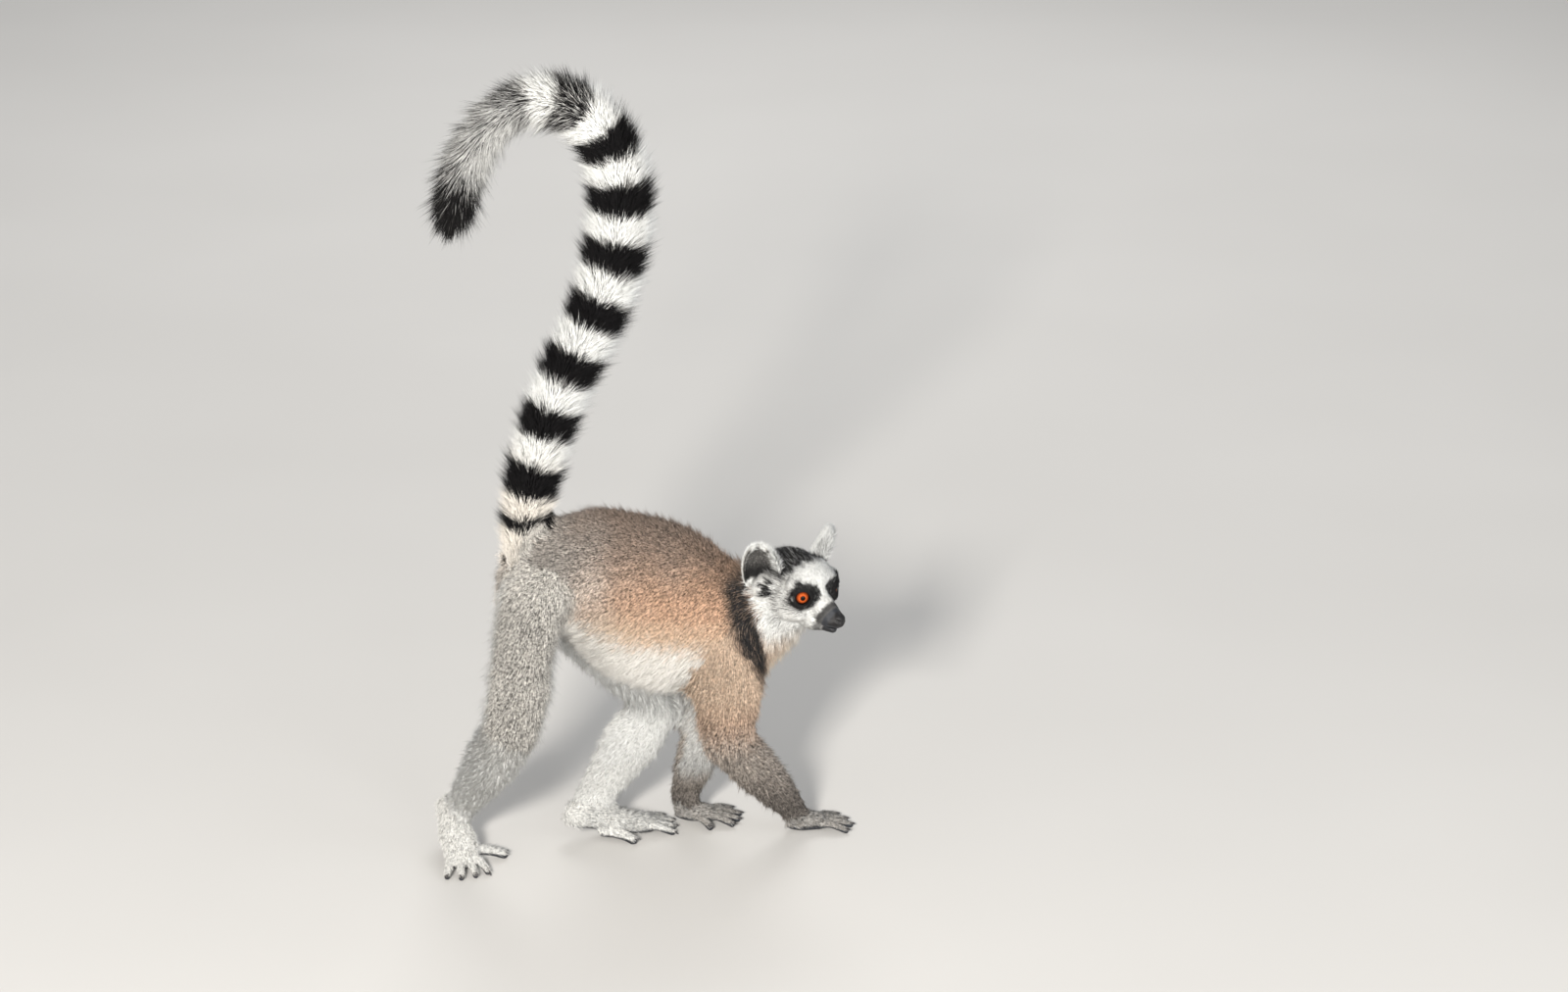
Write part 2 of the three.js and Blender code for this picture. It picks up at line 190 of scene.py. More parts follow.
def smooth_line(stations, steps=24):
    """A dense line through the stations (Catmull-Rom)."""
    p = np.vstack([2 * stations[0] - stations[1], stations, 2 * stations[-1] - stations[-2]])
    t = np.linspace(0, 1, steps, endpoint=False)[:, None]
    spans = [
        0.5 * (2 * b + (c - a) * t + (2 * a - 5 * b + 4 * c - d) * t**2 + (3 * b - a - 3 * c + d) * t**3)
        for a, b, c, d in zip(p, p[1:], p[2:], p[3:])
    ]
    return np.vstack(spans + [stations[-1:]])


def run_of(line):
    """Distance along a line at each of its points."""
    return np.r_[0, np.cumsum(np.linalg.norm(np.diff(line, axis=0), axis=1))]


def nearest_on(line, points):
    """For each point, the index of the nearest point of a line."""
    best = np.empty(len(points), int)
    for start in range(0, len(points), 4000):
        part = points[start : start + 4000]
        best[start : start + 4000] = ((part[:, None] - line[None]) ** 2).sum(2).argmin(1)
    return best


def new_mesh(name, points, faces):
    """A mesh from points and equal-sided faces."""
    mesh = bpy.data.meshes.new(name)
    sides = faces.shape[1]
    mesh.vertices.add(len(points))
    mesh.vertices.foreach_set("co", np.ascontiguousarray(points, np.float32).ravel())
    mesh.loops.add(faces.size)
    mesh.loops.foreach_set("vertex_index", np.ascontiguousarray(faces, np.int32).ravel())
    mesh.polygons.add(len(faces))
    mesh.polygons.foreach_set("loop_start", np.arange(0, faces.size, sides, dtype=np.int32))
    mesh.update(calc_edges=True)
    mesh.validate()
    return mesh


def placed(name, mesh):
    """A new object in the scene, at the origin."""
    piece = bpy.data.objects.new(name, mesh)
    bpy.context.scene.collection.objects.link(piece)
    return piece


def set_values(mesh, name, values):
    """One number for each point of a mesh, for its material to read."""
    mesh.attributes.new(name, "FLOAT", "POINT").data.foreach_set("value", values.astype(np.float32))


def dress(mesh, material):
    """Smooth shading and one material for a mesh."""
    mesh.polygons.foreach_set("use_smooth", np.ones(len(mesh.polygons), bool))
    mesh.materials.clear()
    mesh.materials.append(material)


def points_of(mesh):
    points = np.empty(len(mesh.vertices) * 3, np.float32)
    mesh.vertices.foreach_get("co", points)
    return points.reshape(-1, 3).astype(float)


def normals_of(mesh):
    normals = np.empty(len(mesh.vertices) * 3, np.float32)
    mesh.vertices.foreach_get("normal", normals)
    return normals.reshape(-1, 3).astype(float)


def edges_of(mesh):
    edges = np.empty(len(mesh.edges) * 2, np.int32)
    mesh.edges.foreach_get("vertices", edges)
    return edges.reshape(-1, 2)


def evened(values, edges, rounds, share=0.5):
    """Values on a mesh's points, averaged with their neighbours a number of times."""
    count = len(values)
    a = np.r_[edges[:, 0], edges[:, 1]]
    b = np.r_[edges[:, 1], edges[:, 0]]
    degree = np.maximum(np.bincount(a, minlength=count), 1)
    flat = values.reshape(count, -1).copy()
    for _ in range(rounds):
        for k in range(flat.shape[1]):
            around = np.bincount(a, weights=flat[b, k], minlength=count) / degree
            flat[:, k] += share * (around - flat[:, k])
    return flat.reshape(values.shape)


def after(piece, modifier_type, **settings):
    """The piece's mesh after one modifier, as a plain mesh; the piece itself is removed."""
    modifier = piece.modifiers.new("step", modifier_type)
    for key, value in settings.items():
        setattr(modifier, key, value)
    graph = bpy.context.evaluated_depsgraph_get()
    mesh = bpy.data.meshes.new_from_object(piece.evaluated_get(graph))
    bpy.data.objects.remove(piece)
    return mesh


def whole(nodes, grain):
    """One closed mesh over several nodes, without the gaps between them."""
    points, triangles, count = [], [], 0
    for node in nodes:
        p, t = SOLIDS[node]
        points.append(p)
        triangles.append(t + count)
        count += len(p)
    solid = placed("solid", new_mesh("solid", np.vstack(points), np.vstack(triangles)))
    mesh = after(solid, "REMESH", mode="VOXEL", voxel_size=grain)
    return outer_shell(mesh)


def outer_shell(mesh):
    """Only the largest connected shell of a mesh."""
    edges = edges_of(mesh)
    label = np.arange(len(mesh.vertices))
    while True:
        low = np.minimum(label[edges[:, 0]], label[edges[:, 1]])
        new = label.copy()
        np.minimum.at(new, edges[:, 0], low)
        np.minimum.at(new, edges[:, 1], low)
        new = new[new]
        if (new == label).all():
            break
        label = new
    keep = label == np.bincount(label).argmax()
    if keep.all():
        return mesh
    faces = np.array([tuple(p.vertices) for p in mesh.polygons])
    renumber = np.cumsum(keep) - 1
    return new_mesh(mesh.name, points_of(mesh)[keep], renumber[faces[keep[faces[:, 0]]]])


# ---------------------------------------------------------------- the body's own axes

TAIL_LINE = smooth_line(
    np.array(
        [meeting("rump", "tail_1")]
        + [meeting(a, b) for a, b in zip(TAIL_NODES, TAIL_NODES[1:])]
        + [farthest("tail_8", meeting("tail_7", "tail_8"))]
    )
)
TAIL_RUN = run_of(TAIL_LINE)
TAIL_WAY = unit(np.gradient(TAIL_LINE, axis=0))
TAIL_LENGTH = TAIL_RUN[-1]


def limb_lines():
    """For each part of a limb, the line down its middle from the body outwards."""
    lines = {}
    limbs = {"thigh": ("shank", "foot", "toe", "rump"), "upper_arm": ("forearm", "hand", "finger", "chest")}
    for side in SIDES:
        for upper, (lower, end, digit, trunk) in limbs.items():
            names = [f"{part}_{side}" for part in (upper, lower, end)]
            digits = [f"{digit}_{side}_{i}" for i in DIGITS]
            top = meeting(names[0], trunk)
            bend = meeting(names[0], names[1])
            heel = meeting(names[1], names[2])
            knuckles = np.mean([meeting(names[2], d) for d in digits[1:]], axis=0)
            lines[names[0]] = (top, bend)
            lines[names[1]] = (bend, heel)
            lines[names[2]] = (heel, knuckles)
            for d in digits:
                root = meeting(names[2], d)
                lines[d] = (root, farthest(d, root))
    return lines


LIMB_LINES = limb_lines()

# The head's own axes: forwards, left and up from the point between the eyes.
EYES = [middle("eye_right"), middle("eye_left")]
BROW = (EYES[0] + EYES[1]) / 2
LEFTWARD = unit(EYES[1] - EYES[0])
NOSE_WAY = SOLIDS["nose"][0].mean(0) - BROW
NOSE_WAY = unit(NOSE_WAY - LEFTWARD * (NOSE_WAY @ LEFTWARD))
NOSE_UP = np.cross(NOSE_WAY, LEFTWARD)
FORWARD = math.cos(NOSE_DROP) * NOSE_WAY + math.sin(NOSE_DROP) * NOSE_UP
HEADWARD = np.cross(FORWARD, LEFTWARD)
HEAD_AXES = np.array([FORWARD, LEFTWARD, HEADWARD])


def to_head(points):
    """Millimetres forwards, left and up from the point between the eyes."""
    return (points - BROW) @ HEAD_AXES.T / MM


def from_head(q):
    return BROW + q * MM @ HEAD_AXES


# ---------------------------------------------------------------- the head, as blended rounds


def ball(p, centre, radii):
    q = p - np.array(centre, np.float32)
    r = np.array(radii, np.float32)
    near = np.sqrt(((q / r) ** 2).sum(-1))
    slope = np.sqrt(((q / r**2) ** 2).sum(-1)) + 1e-6
    return near * (near - 1) / slope


def rod(p, start, end, thick, thin):
    a, b = np.array(start, np.float32), np.array(end, np.float32)
    t = np.clip(((p - a) @ (b - a)) / ((b - a) @ (b - a)), 0, 1)
    return np.sqrt(((p - a - t[..., None] * (b - a)) ** 2).sum(-1)) - (thick + t * (thin - thick))


def melt(a, b, k):
    """Two shapes joined, with a soft seam k wide."""
    h = np.clip(0.5 + 0.5 * (b - a) / k, 0, 1)
    return b + (a - b) * h - k * h * (1 - h)


def carve(a, b, k):
    """Shape a with shape b taken away."""
    return -melt(-a, b, k)


def turned(axis, angle):
    c, s = math.cos(math.radians(angle)), math.sin(math.radians(angle))
    i, j = [(1, 2), (2, 0), (0, 1)]["xyz".index(axis)]
    m = np.eye(3, dtype=np.float32)
    m[i, i] = m[j, j] = c
    m[i, j], m[j, i] = -s, s
    return m


GAZE = np.array(
    [
        math.cos(EYE_LIFT) * math.cos(EYE_TURN),
        math.cos(EYE_LIFT) * math.sin(EYE_TURN),
        math.sin(EYE_LIFT),
    ],
    np.float32,
)
GAZE_SIDE = np.array([-math.sin(EYE_TURN), math.cos(EYE_TURN), 0], np.float32)
GAZE_UP = np.cross(GAZE, GAZE_SIDE)

EAR_ROOT = np.array([-32, 31, -5], np.float32)
EAR_TURN = turned("x", -18) @ turned("z", 52)
EAR_HEIGHT = 48.0
EAR_WIDEST = 19.0  # height of its widest place
EAR_HALF_WIDTH = 17.0
EAR_DEPTH = 13.0
EAR_WALL = 2.0
EAR_LEAST = 1.8  # half its width, and its depth, are nowhere less than this


def to_ear(p):
    """A point of the head's left half in the ear's own axes: x out of the cup, y across it, z up it."""
    return (p - EAR_ROOT) @ EAR_TURN


def ear_widths(z):
    """Half the ear's width and its depth at a height."""
    above = np.clip((z - EAR_WIDEST) / (EAR_HEIGHT - EAR_WIDEST + 1), 0, 0.995)
    below = np.clip((EAR_WIDEST - z) / 30, 0, 1)
    width = EAR_HALF_WIDTH * np.sqrt(1 - above**2) * (1 - 0.3 * below**2)
    depth = (EAR_DEPTH - 0.13 * z) * (0.45 + 0.55 * width / EAR_HALF_WIDTH)
    return np.maximum(width, EAR_LEAST), np.maximum(depth, EAR_LEAST)


def ear_shape(p):
    """A cup open to the side, with two low ridges in it, on a rounded root."""
    e = to_ear(p)
    x, y, z = e[..., 0], e[..., 1], e[..., 2]
    width, depth = ear_widths(z)

    def tube(wall):
        a, b = depth - wall, width - wall
        near = np.sqrt((x / a) ** 2 + (y / b) ** 2)
        return near * (near - 1) / (np.sqrt((x / a**2) ** 2 + (y / b**2) ** 2) + 1e-6)

    shell = carve(tube(0), tube(EAR_WALL), 0.6)
    shell = -melt(-shell, -(x - 0.5 - 0.05 * z), 1.5)
    shell = -melt(-shell, -(z - EAR_HEIGHT), 2.0)
    shell = np.maximum(shell, -z - 6)
    back_ridge = rod(e, (-7, 8.0, 6), (-7.5, 5.5, 29), 2.0, 0.7)
    front_ridge = rod(e, (-8.5, -6.5, 6), (-8.5, -2.5, 24), 2.2, 0.7)
    shell = melt(shell, np.minimum(back_ridge, front_ridge), 2.5)
    return melt(shell, ball(e, (-3.5, -1.5, 2.5), (9.5, 13.0, 9.5)), 4.0)


def skull_shape(p):
    """Skull, cheek, muzzle, whisker pad, brow and the mound that holds the eye, as one round form."""
    skull = melt(ball(p, (-29, 0, 0.6), (34, 28.5, 25.8)), ball(p, (-9, 0, 6), (16.5, 25.5, 20.5)), 8)
    cheek = ball(p, (-13, 14, -14), (19, 14, 13.5))
    skull = melt(skull, cheek, 8)
    narrow = p * np.array((1, 1.22, 1), np.float32)
    muzzle = rod(narrow, (2, 0, -9), (30.2, 0, -15.2), 15.2, 7.6) / 1.1
    skull = melt(skull, muzzle, 6)
    whisker_pad = ball(p, (21.5, 5.6, -17.0), (9.5, 4.6, 6.0))
    skull = melt(skull, whisker_pad, 4)
    mound = ball(p, (0, EYE_SPREAD, 0), (11.3, 11.3, 11.3))
    skull = melt(skull, mound, 5)
    brow = rod(p, (2, 13, 10.5), (-4, 25.5, 10.5), 3.4, 3.2)
    return melt(skull, brow, 7)


def with_mouth(skull, p):
    """The skull with its jaw and the line of the mouth between them."""
    throat = rod(p, (-30, 0, -16), (2, 0, -22), 15, 10)
    lower_jaw = rod(p, (0, 0, -23.5), (26.4, 0, -25.0), 9.4, 3.9)
    head = melt(skull, melt(throat, lower_jaw, 6), 2.2)
    line = np.abs(p[..., 2] + 23.0 - 0.10 * (p[..., 0] - 20) * (p[..., 0] < 20)) - 0.35
    mouth = np.maximum(np.maximum(line, -(head + 1.6)), 8 - p[..., 0])
    return carve(head, mouth, 0.9)


def with_nose(head, p):
    """The nose leather with its wings, its nostrils and the groove down to the lip."""
    nose = ball(p, (32.2, 0, -13.6), (5.4, 5.4, 4.6))
    wing = ball(p, (33.2, 3.7, -14.4), (3.0, 2.7, 3.1))
    head = melt(melt(head, nose, 1.2), wing, 1.2)
    nostril = rod(p, (37.5, 2.5, -14.6), (32.6, 6.6, -13.2), 1.25, 0.8)
    groove = rod(p, (38.0, 0, -15.0), (34.3, 0, -22.0), 0.8, 0.7)
    return carve(carve(head, nostril, 0.8), groove, 0.8)


def with_eye(head, p):
    """The eyeball's socket, the opening between the lids, and the crease round the lids."""
    q = p - np.array((0, EYE_SPREAD, 0), np.float32)
    ahead, across, high = q @ GAZE, q @ GAZE_SIDE, q @ GAZE_UP
    out = np.sqrt((across / 1.08) ** 2 + (high * 1.04 - 0.02 * across) ** 2)
    crease = np.sqrt((out - LID_CREASE) ** 2 + (ahead - 5.2) ** 2) - 0.35
    head = carve(head, crease, 1.2)
    head = carve(head, ball(p, (0, EYE_SPREAD, 0), (EYE_BALL + 0.05,) * 3), 0.3)
    opening = np.maximum(out - (LID_OPENING + 0.15 * np.maximum(ahead - 5, 0)), 2 - ahead)
    return carve(head, opening, 0.7)


def head_shape(p):
    """Distance to the head's skin, in its own millimetres, for points of its left half."""
    head = with_nose(with_mouth(skull_shape(p), p), p)
    return with_eye(melt(head, ear_shape(p), 3.0), p)


def net_over(values, origin, step):
    """A closed mesh of quads over the zero surface of a grid of distances."""
    inside = values < 0
    corners = [(i, j, k) for i in (0, 1) for j in (0, 1) for k in (0, 1)]
    nx, ny, nz = (n - 1 for n in values.shape)

    def cells(array, i, j, k):
        return array[i : i + nx, j : j + ny, k : k + nz]

    filled = sum(cells(inside, *c).astype(np.int8) for c in corners)
    mixed = (filled > 0) & (filled < 8)
    index = np.full(mixed.shape, -1)
    index[mixed] = np.arange(mixed.sum())
    total = np.zeros((mixed.sum(), 3))
    count = np.zeros(mixed.sum())
    for a in corners:
        for axis in range(3):
            if a[axis]:
                continue
            b = tuple(1 if n == axis else a[n] for n in range(3))
            va, vb = cells(values, *a)[mixed], cells(values, *b)[mixed]
            cross = (va < 0) != (vb < 0)
            t = va[cross] / (va[cross] - vb[cross])
            spot = np.tile(np.array(a, float), (len(t), 1))
            spot[:, axis] += t
            total[cross] += spot
            count[cross] += 1
    points = origin + step * (np.argwhere(mixed) + total / count[:, None])
    faces = []
    for axis in range(3):
        j, k = (axis + 1) % 3, (axis + 2) % 3
        ahead = [slice(None)] * 3
        here = [slice(None)] * 3
        ahead[axis], here[axis] = slice(1, None), slice(None, -1)
        change = inside[tuple(here)] != inside[tuple(ahead)]
        spots = np.argwhere(change)
        spots = spots[(spots[:, j] > 0) & (spots[:, k] > 0)]
        leaving = inside[tuple(spots.T)]
        ring = []
        for dj, dk in ((1, 1), (0, 1), (0, 0), (1, 0)):
            cell = spots.copy()
            cell[:, j] -= dj
            cell[:, k] -= dk
            ring.append(index[tuple(cell.T)])
        quad = np.stack(ring, 1)
        quad[~leaving] = quad[~leaving][:, ::-1]
        faces.append(quad)
    return points, np.vstack(faces)


def head_skin():
    """The head's closed skin, its right half the mirror of its left."""
    low, high = np.array([-68.0, 0.0, -42.0]), np.array([42.0, 66.0, 50.0])
    sizes = [np.arange(a, b, HEAD_GRAIN, dtype=np.float32) for a, b in zip(low, high)]
    grid = np.stack(np.meshgrid(*sizes, indexing="ij"), -1)
    half = head_shape(grid)
    full = np.concatenate([half[:, :0:-1], half], axis=1)
    origin = np.array([low[0], -sizes[1][-1], low[2]])
    points, faces = net_over(full, origin, HEAD_GRAIN)
    return outer_shell(new_mesh("head", from_head(points), faces))


# ---------------------------------------------------------------- which part a point belongs to

flesh_points, flesh_triangles, flesh_owner = [], [], []
for number, node in enumerate(FLESH):
    p, t = SOLIDS[node]
    flesh_triangles += (t + len(flesh_points)).tolist()
    flesh_points += p.tolist()
    flesh_owner += [number] * len(t)
FLESH_TREE = BVHTree.FromPolygons(flesh_points, flesh_triangles)
flesh_owner = np.array(flesh_owner)
FLESH_KIND = np.array([PARTS.index(kind(node)) for node in FLESH])


def owners(points):
    """For each point, the number of the flesh node whose surface is nearest."""
    return flesh_owner[[FLESH_TREE.find_nearest(Vector(p))[2] for p in points]]


def part_values(owner, column):
    """One column of the COAT table for each point's part."""
    table = np.array([COAT[part][column] for part in PARTS], float)
    return table[FLESH_KIND[owner]]


def limb_share(points, owner):
    """How far along its part's line each point lies, from 0 to 1; 0 where there is no line."""
    share = np.zeros(len(points))
    for number, node in enumerate(FLESH):
        if node in LIMB_LINES:
            here = owner == number
            start, end = LIMB_LINES[node]
            share[here] = (points[here] - start) @ (end - start) / ((end - start) @ (end - start))
    return np.clip(share, 0, 1)


def is_kind(owner, *names):
    return np.isin(FLESH_KIND[owner], [PARTS.index(n) for n in names])


# ---------------------------------------------------------------- the skin


def moved(mesh, points):
    """Puts a mesh's points at new places."""
    mesh.vertices.foreach_set("co", points.astype(np.float32).ravel())
    mesh.update()


def rounded(mesh, rounds):
    """A mesh's points smoothed over without shrinking it, and its normals there."""
    edges = edges_of(mesh)
    start = points_of(mesh)
    points = evened(start, edges, rounds)
    moved(mesh, points)
    normals = normals_of(mesh)
    lost = evened(((start - points) * normals).sum(1), edges, rounds)
    return points + normals * lost[:, None], normals


def sunk(mesh, depth_of, rounds, evening):
    """Rounds off a mesh's facets, then moves it in by the coat's depth."""
    edges = edges_of(mesh)
    start = points_of(mesh)
    owner = owners(start)
    points, normals = rounded(mesh, rounds)
    depth = evened(depth_of(start, owner, normals), edges, evening)
    moved(mesh, evened(points - normals * depth[:, None], edges, 3))
    return mesh


def merged_limbs(mesh):
    """Lets the thighs and shoulders run into the trunk without a crease."""
    start = points_of(mesh)
    x, _, z = (start / MM).T
    haunch = ramp(z, 232, 258) * ramp(x, 40, 5)
    haunch *= 1 - ramp(z, 282, 300) * ramp(x, -76, -92)
    shoulder = ramp(z, 140, 175) * ramp(z, 262, 235) * ramp(x, 30, 55) * ramp(x, 130, 110)
    share = np.maximum(haunch, shoulder)[:, None]
    points, _ = rounded(mesh, 110)
    moved(mesh, mix(start, points, share))
    return mesh


def soft_seam(mesh):
    """Smooths the seam between the head and the neck, under the cheeks and behind the crown."""
    start = points_of(mesh)
    q = to_head(start)
    x, _, z = q.T
    near = ramp(np.linalg.norm(q, axis=1), 100, 80)
    under = ramp(x, 4, -8) * ramp(z, -11, -20)
    behind = ramp(x, -44, -54) * ramp(z, 20, 12)
    points = evened(start, edges_of(mesh), 60)
    moved(mesh, mix(start, points, (np.maximum(under, behind) * near)[:, None]))
    return mesh


def body_depth(points, owner, normals):
    """How deep the skin lies in the solids of the trunk, limbs, neck and tail."""
    depth = part_values(owner, DEPTH) * MM
    inner = is_kind(owner, "hand", "foot")
    depth[inner] += 2.5 * MM * ramp(limb_share(points, owner)[inner], 0.0, 0.4)
    run = TAIL_RUN[nearest_on(TAIL_LINE, points)] / TAIL_LENGTH
    tail = is_kind(owner, "tail")
    depth[tail] *= mix(0.75, 1.0, ramp(run[tail], 0.0, 0.2)) * mix(1.0, 0.6, ramp(run[tail], 0.82, 0.95))
    ahead = (normals * TAIL_WAY[nearest_on(TAIL_LINE, points)]).sum(1)
    end = tail & (run > 0.9)
    depth[end] = mix(depth[end], 17 * MM, ramp(ahead[end], 0.1, 0.8))
    height = points[:, 2] / MM
    thigh_front = is_kind(owner, "thigh") * ramp(normals[:, 0], 0.1, 0.7)
    depth += 7 * MM * thigh_front * ramp(height, 170, 205) * ramp(height, 262, 240)
    return depth


def hand_depth(points, owner, normals):
    """How deep the skin lies in a hand or foot: nothing at the sole, so that it still meets the floor."""
    depth = part_values(owner, DEPTH) * MM
    wrist = is_kind(owner, "hand", "foot")
    share = limb_share(points, owner)
    depth[wrist] = mix(3.6, 1.4, ramp(share[wrist], 0.0, 0.5)) * MM
    sole = ramp(-normals[:, 2], 0.3, 0.9) * ramp(points[:, 2], 6 * MM, 2 * MM)
    return depth * (1 - sole)


def one_skin():
    """Body, head, hands and feet joined into one closed skin."""
    apart = [f"ear_{side}" for side in SIDES] + ["nose"]
    apart += [n for n in FLESH if n.startswith(("toe", "finger"))]
    body_nodes = [n for n in FLESH if n not in apart] + [f"eye_{side}" for side in SIDES]
    body = sunk(whole(body_nodes, BODY_GRAIN), body_depth, rounds=40, evening=8)
    skin = placed("skin", merged_limbs(body))
    others = [head_skin()]
    for side in SIDES:
        for end, digit in (("foot", "toe"), ("hand", "finger")):
            nodes = [f"{end}_{side}"] + [f"{digit}_{side}_{i}" for i in DIGITS]
            others.append(sunk(whole(nodes, HAND_GRAIN), hand_depth, rounds=6, evening=3))
    for mesh in others:
        part = placed("part", mesh)
        joined = after(skin, "BOOLEAN", operation="UNION", solver="MANIFOLD", object=part)
        bpy.data.objects.remove(part)
        skin = placed("skin", joined)
    soft_seam(skin.data)
    on_floor = points_of(skin.data)
    on_floor[:, 2] = np.maximum(on_floor[:, 2], 0)
    moved(skin.data, on_floor)
    return skin


# ---------------------------------------------------------------- markings

FUR_MASKS = ("ash", "warm", "pale", "cream", "dark", "black")
MASKS = FUR_MASKS + ("bare",)
BAND_SHARE = 0.47  # how much of each step along the tail is white
MIDDLE = 1.2  # the trunk's middle lies this many millimetres to the left


def soft_noise(points, scale, seed):
    """A smooth value, mostly from -1 to 1, that wanders over a length of about scale (metres)."""
    turn = np.random.default_rng(SEED + seed)
    value = np.zeros(len(points))
    for _ in range(6):
        way = unit(turn.normal(size=3)) * turn.uniform(0.7, 1.4) * 2 * np.pi / scale
        value += np.sin(points @ way + turn.uniform(0, 2 * np.pi))
    return value / 3


def from_eye(q):
    """Millimetres to the nearer eye's centre, for points in the head's own axes."""
    return np.linalg.norm(np.stack([q[:, 0], np.abs(q[:, 1]) - EYE_SPREAD, q[:, 2]], 1), axis=1)


def face_marks(q, wobble, tone):
    """Black, dark and flecked markings of the head from its own axes, q in millimetres."""
    x, y, z = q[:, 0], np.abs(q[:, 1]), q[:, 2]
    eye = np.stack([x, y - EYE_SPREAD, z], 1)
    across, high = eye @ GAZE_SIDE.astype(float), eye @ GAZE_UP.astype(float)
    away = from_eye(q)
    ragged = wobble + 2.4 * (tone - 0.5)
    # The black patch round an eye reaches farthest towards the nose, then above, and least behind.
    angle = np.arctan2(high, -across)
    reach = 12.9 + 4.8 * bump(angle, 0.12, 0.65) + 1.1 * bump(angle, 1.25, 0.5)
    reach += 2.8 * bump(angle, 2.1, 0.42) - 1.0 * ramp(np.abs(angle), 2.4, 3.0)
    patch = ramp(away + 0.7 * ragged, reach + 0.9, reach - 0.9) * (x > -12)
    snout = ramp(x + 0.8 * ragged - (21.8 + 0.38 * z), -1.2, 1.2) * (x > 5)
    bridge = ramp(x, 12, 20) * ramp(y, 7, 3) * ramp(z, -12, -3) * 0.35
    edge = -5.0 - 0.012 * y**2 + 1.8 * ragged
    cap = ramp(x, edge + 1.5, edge - 1.5) * ramp(z + ragged, 8, 13) * ramp(y, 37, 31)
    cap *= 1 - 0.6 * ramp(tone, 0.84, 0.9)
    back = 0.45 * ramp(x, -46, -56) * ramp(z, -16, 0)
    # Single dark hairs under the eye, along the lip and in front of the ear.
    cheek = ramp(away, 21, 15) * ramp(high, -4, -9) * (x > -9)
    lip = ramp(x - 0.27 * z, 13, 19) * ramp(z, -8, -14)
    temple = ramp(np.abs(x + 22), 6, 2) * ramp(np.abs(z - 6), 14, 8) * ramp(y, 18, 22)
    fleck = np.maximum.reduce([0.55 * cheek, 0.5 * lip, 0.45 * temple, np.full_like(x, 0.03)])
    hairs = 0.85 * ramp(tone, 1.02 - fleck, 1.08 - fleck)
    pad = ramp(x - 0.2 * z, 30.8, 32.4) * ramp(z, -20.5, -18.5)
    pad = np.maximum(pad, 0.6 * ramp(z, -20, -23) * snout)
    frosted = 0.25 * ramp(tone, 0.7, 0.76) * ramp(away, 11, 13)
    dark = np.maximum.reduce([cap, back, hairs, 0.93 * snout, patch])
    return np.maximum(patch * (1 - frosted), pad), dark, bridge, snout


def on_ear(q):
    """The head's points in the nearer ear's own axes, and how near each is to the ear's rim."""
    half = q.copy()
    half[:, 1] = np.abs(half[:, 1])
    e = to_ear(half)
    width, _ = ear_widths(e[:, 2])
    return e, np.abs(e[:, 1]) / width


def tail_marks(run, behind, tone, wobble):
    """White and black rings, then a grizzled grey, then the dark tip."""
    run = run + 1.6 * MM * wobble
    phase = (run - TAIL_FIRST_RING) / TAIL_RING_STEP
    ring = np.abs(phase - np.round(phase)) * 2
    white = ramp(ring, BAND_SHARE + 0.05, BAND_SHARE - 0.05)
    white *= (phase < TAIL_RINGS - 0.5) * (phase > -0.5)
    white *= 1 - 0.6 * (phase > TAIL_RINGS - 1.5) * ramp(tone, 0.68, 0.76)
    slant = run + 5 * MM * (behind - 0.5)
    stripe = ramp(slant, 22 * MM, 25 * MM) * ramp(slant, 36 * MM, 33 * MM)
    root = ramp(slant, 25 * MM, 22 * MM)
    white = np.maximum(white, root * behind) * (1 - stripe)
    grizzled = ramp(run, TAIL_GREY_FROM - 4 * MM, TAIL_GREY_FROM + 2 * MM)
    last_gap = TAIL_FIRST_RING + (TAIL_RINGS - 1.5) * TAIL_RING_STEP
    frosted = ramp(np.abs(run - last_gap), 13 * MM, 9 * MM) * ramp(tone, 0.72, 0.8)
    white = np.maximum(white, 0.7 * frosted)
    chance = 0.88 - 0.5 * bump(run, TAIL_GREY_FROM, 20 * MM) - 0.35 * (behind - 0.5)
    chance = mix(chance, 0.04, ramp(run, TAIL_TIP_FROM - 34 * MM, TAIL_TIP_FROM + 3 * MM))
    salt = ramp(tone, chance + 0.06, chance - 0.06)
    white = mix(white, salt * 0.8, grizzled)
    black = (1 - white) * (1 - root * (1 - behind))
    return white, black, grizzled


class Spots:
    """Places on the skin, with what the markings ask of each; x, y and z are in millimetres."""

    def __init__(self, points, normals, owner, tone):
        self.points, self.normals, self.owner, self.tone = points, normals, owner, tone
        self.x, self.y, self.z = (points / MM).T
        self.wobble = soft_noise(points, 9 * MM, 1) + 0.6 * soft_noise(points, 4 * MM, 2)
        self.drift = soft_noise(points, 45 * MM, 3)
        self.ragged = self.wobble + 2.2 * (tone - 0.5)
        self.inward = -normals[:, 1] * np.sign(self.y - MIDDLE + 1e-9) + 0.12 * self.ragged
        self.head = to_head(points)

    def on(self, *parts):
        return is_kind(self.owner, *parts)


def paint(masks, where, **values):
    """Sets the named masks, only where told."""
    for mark, value in values.items():
        masks[mark] = np.where(where, value, masks[mark])


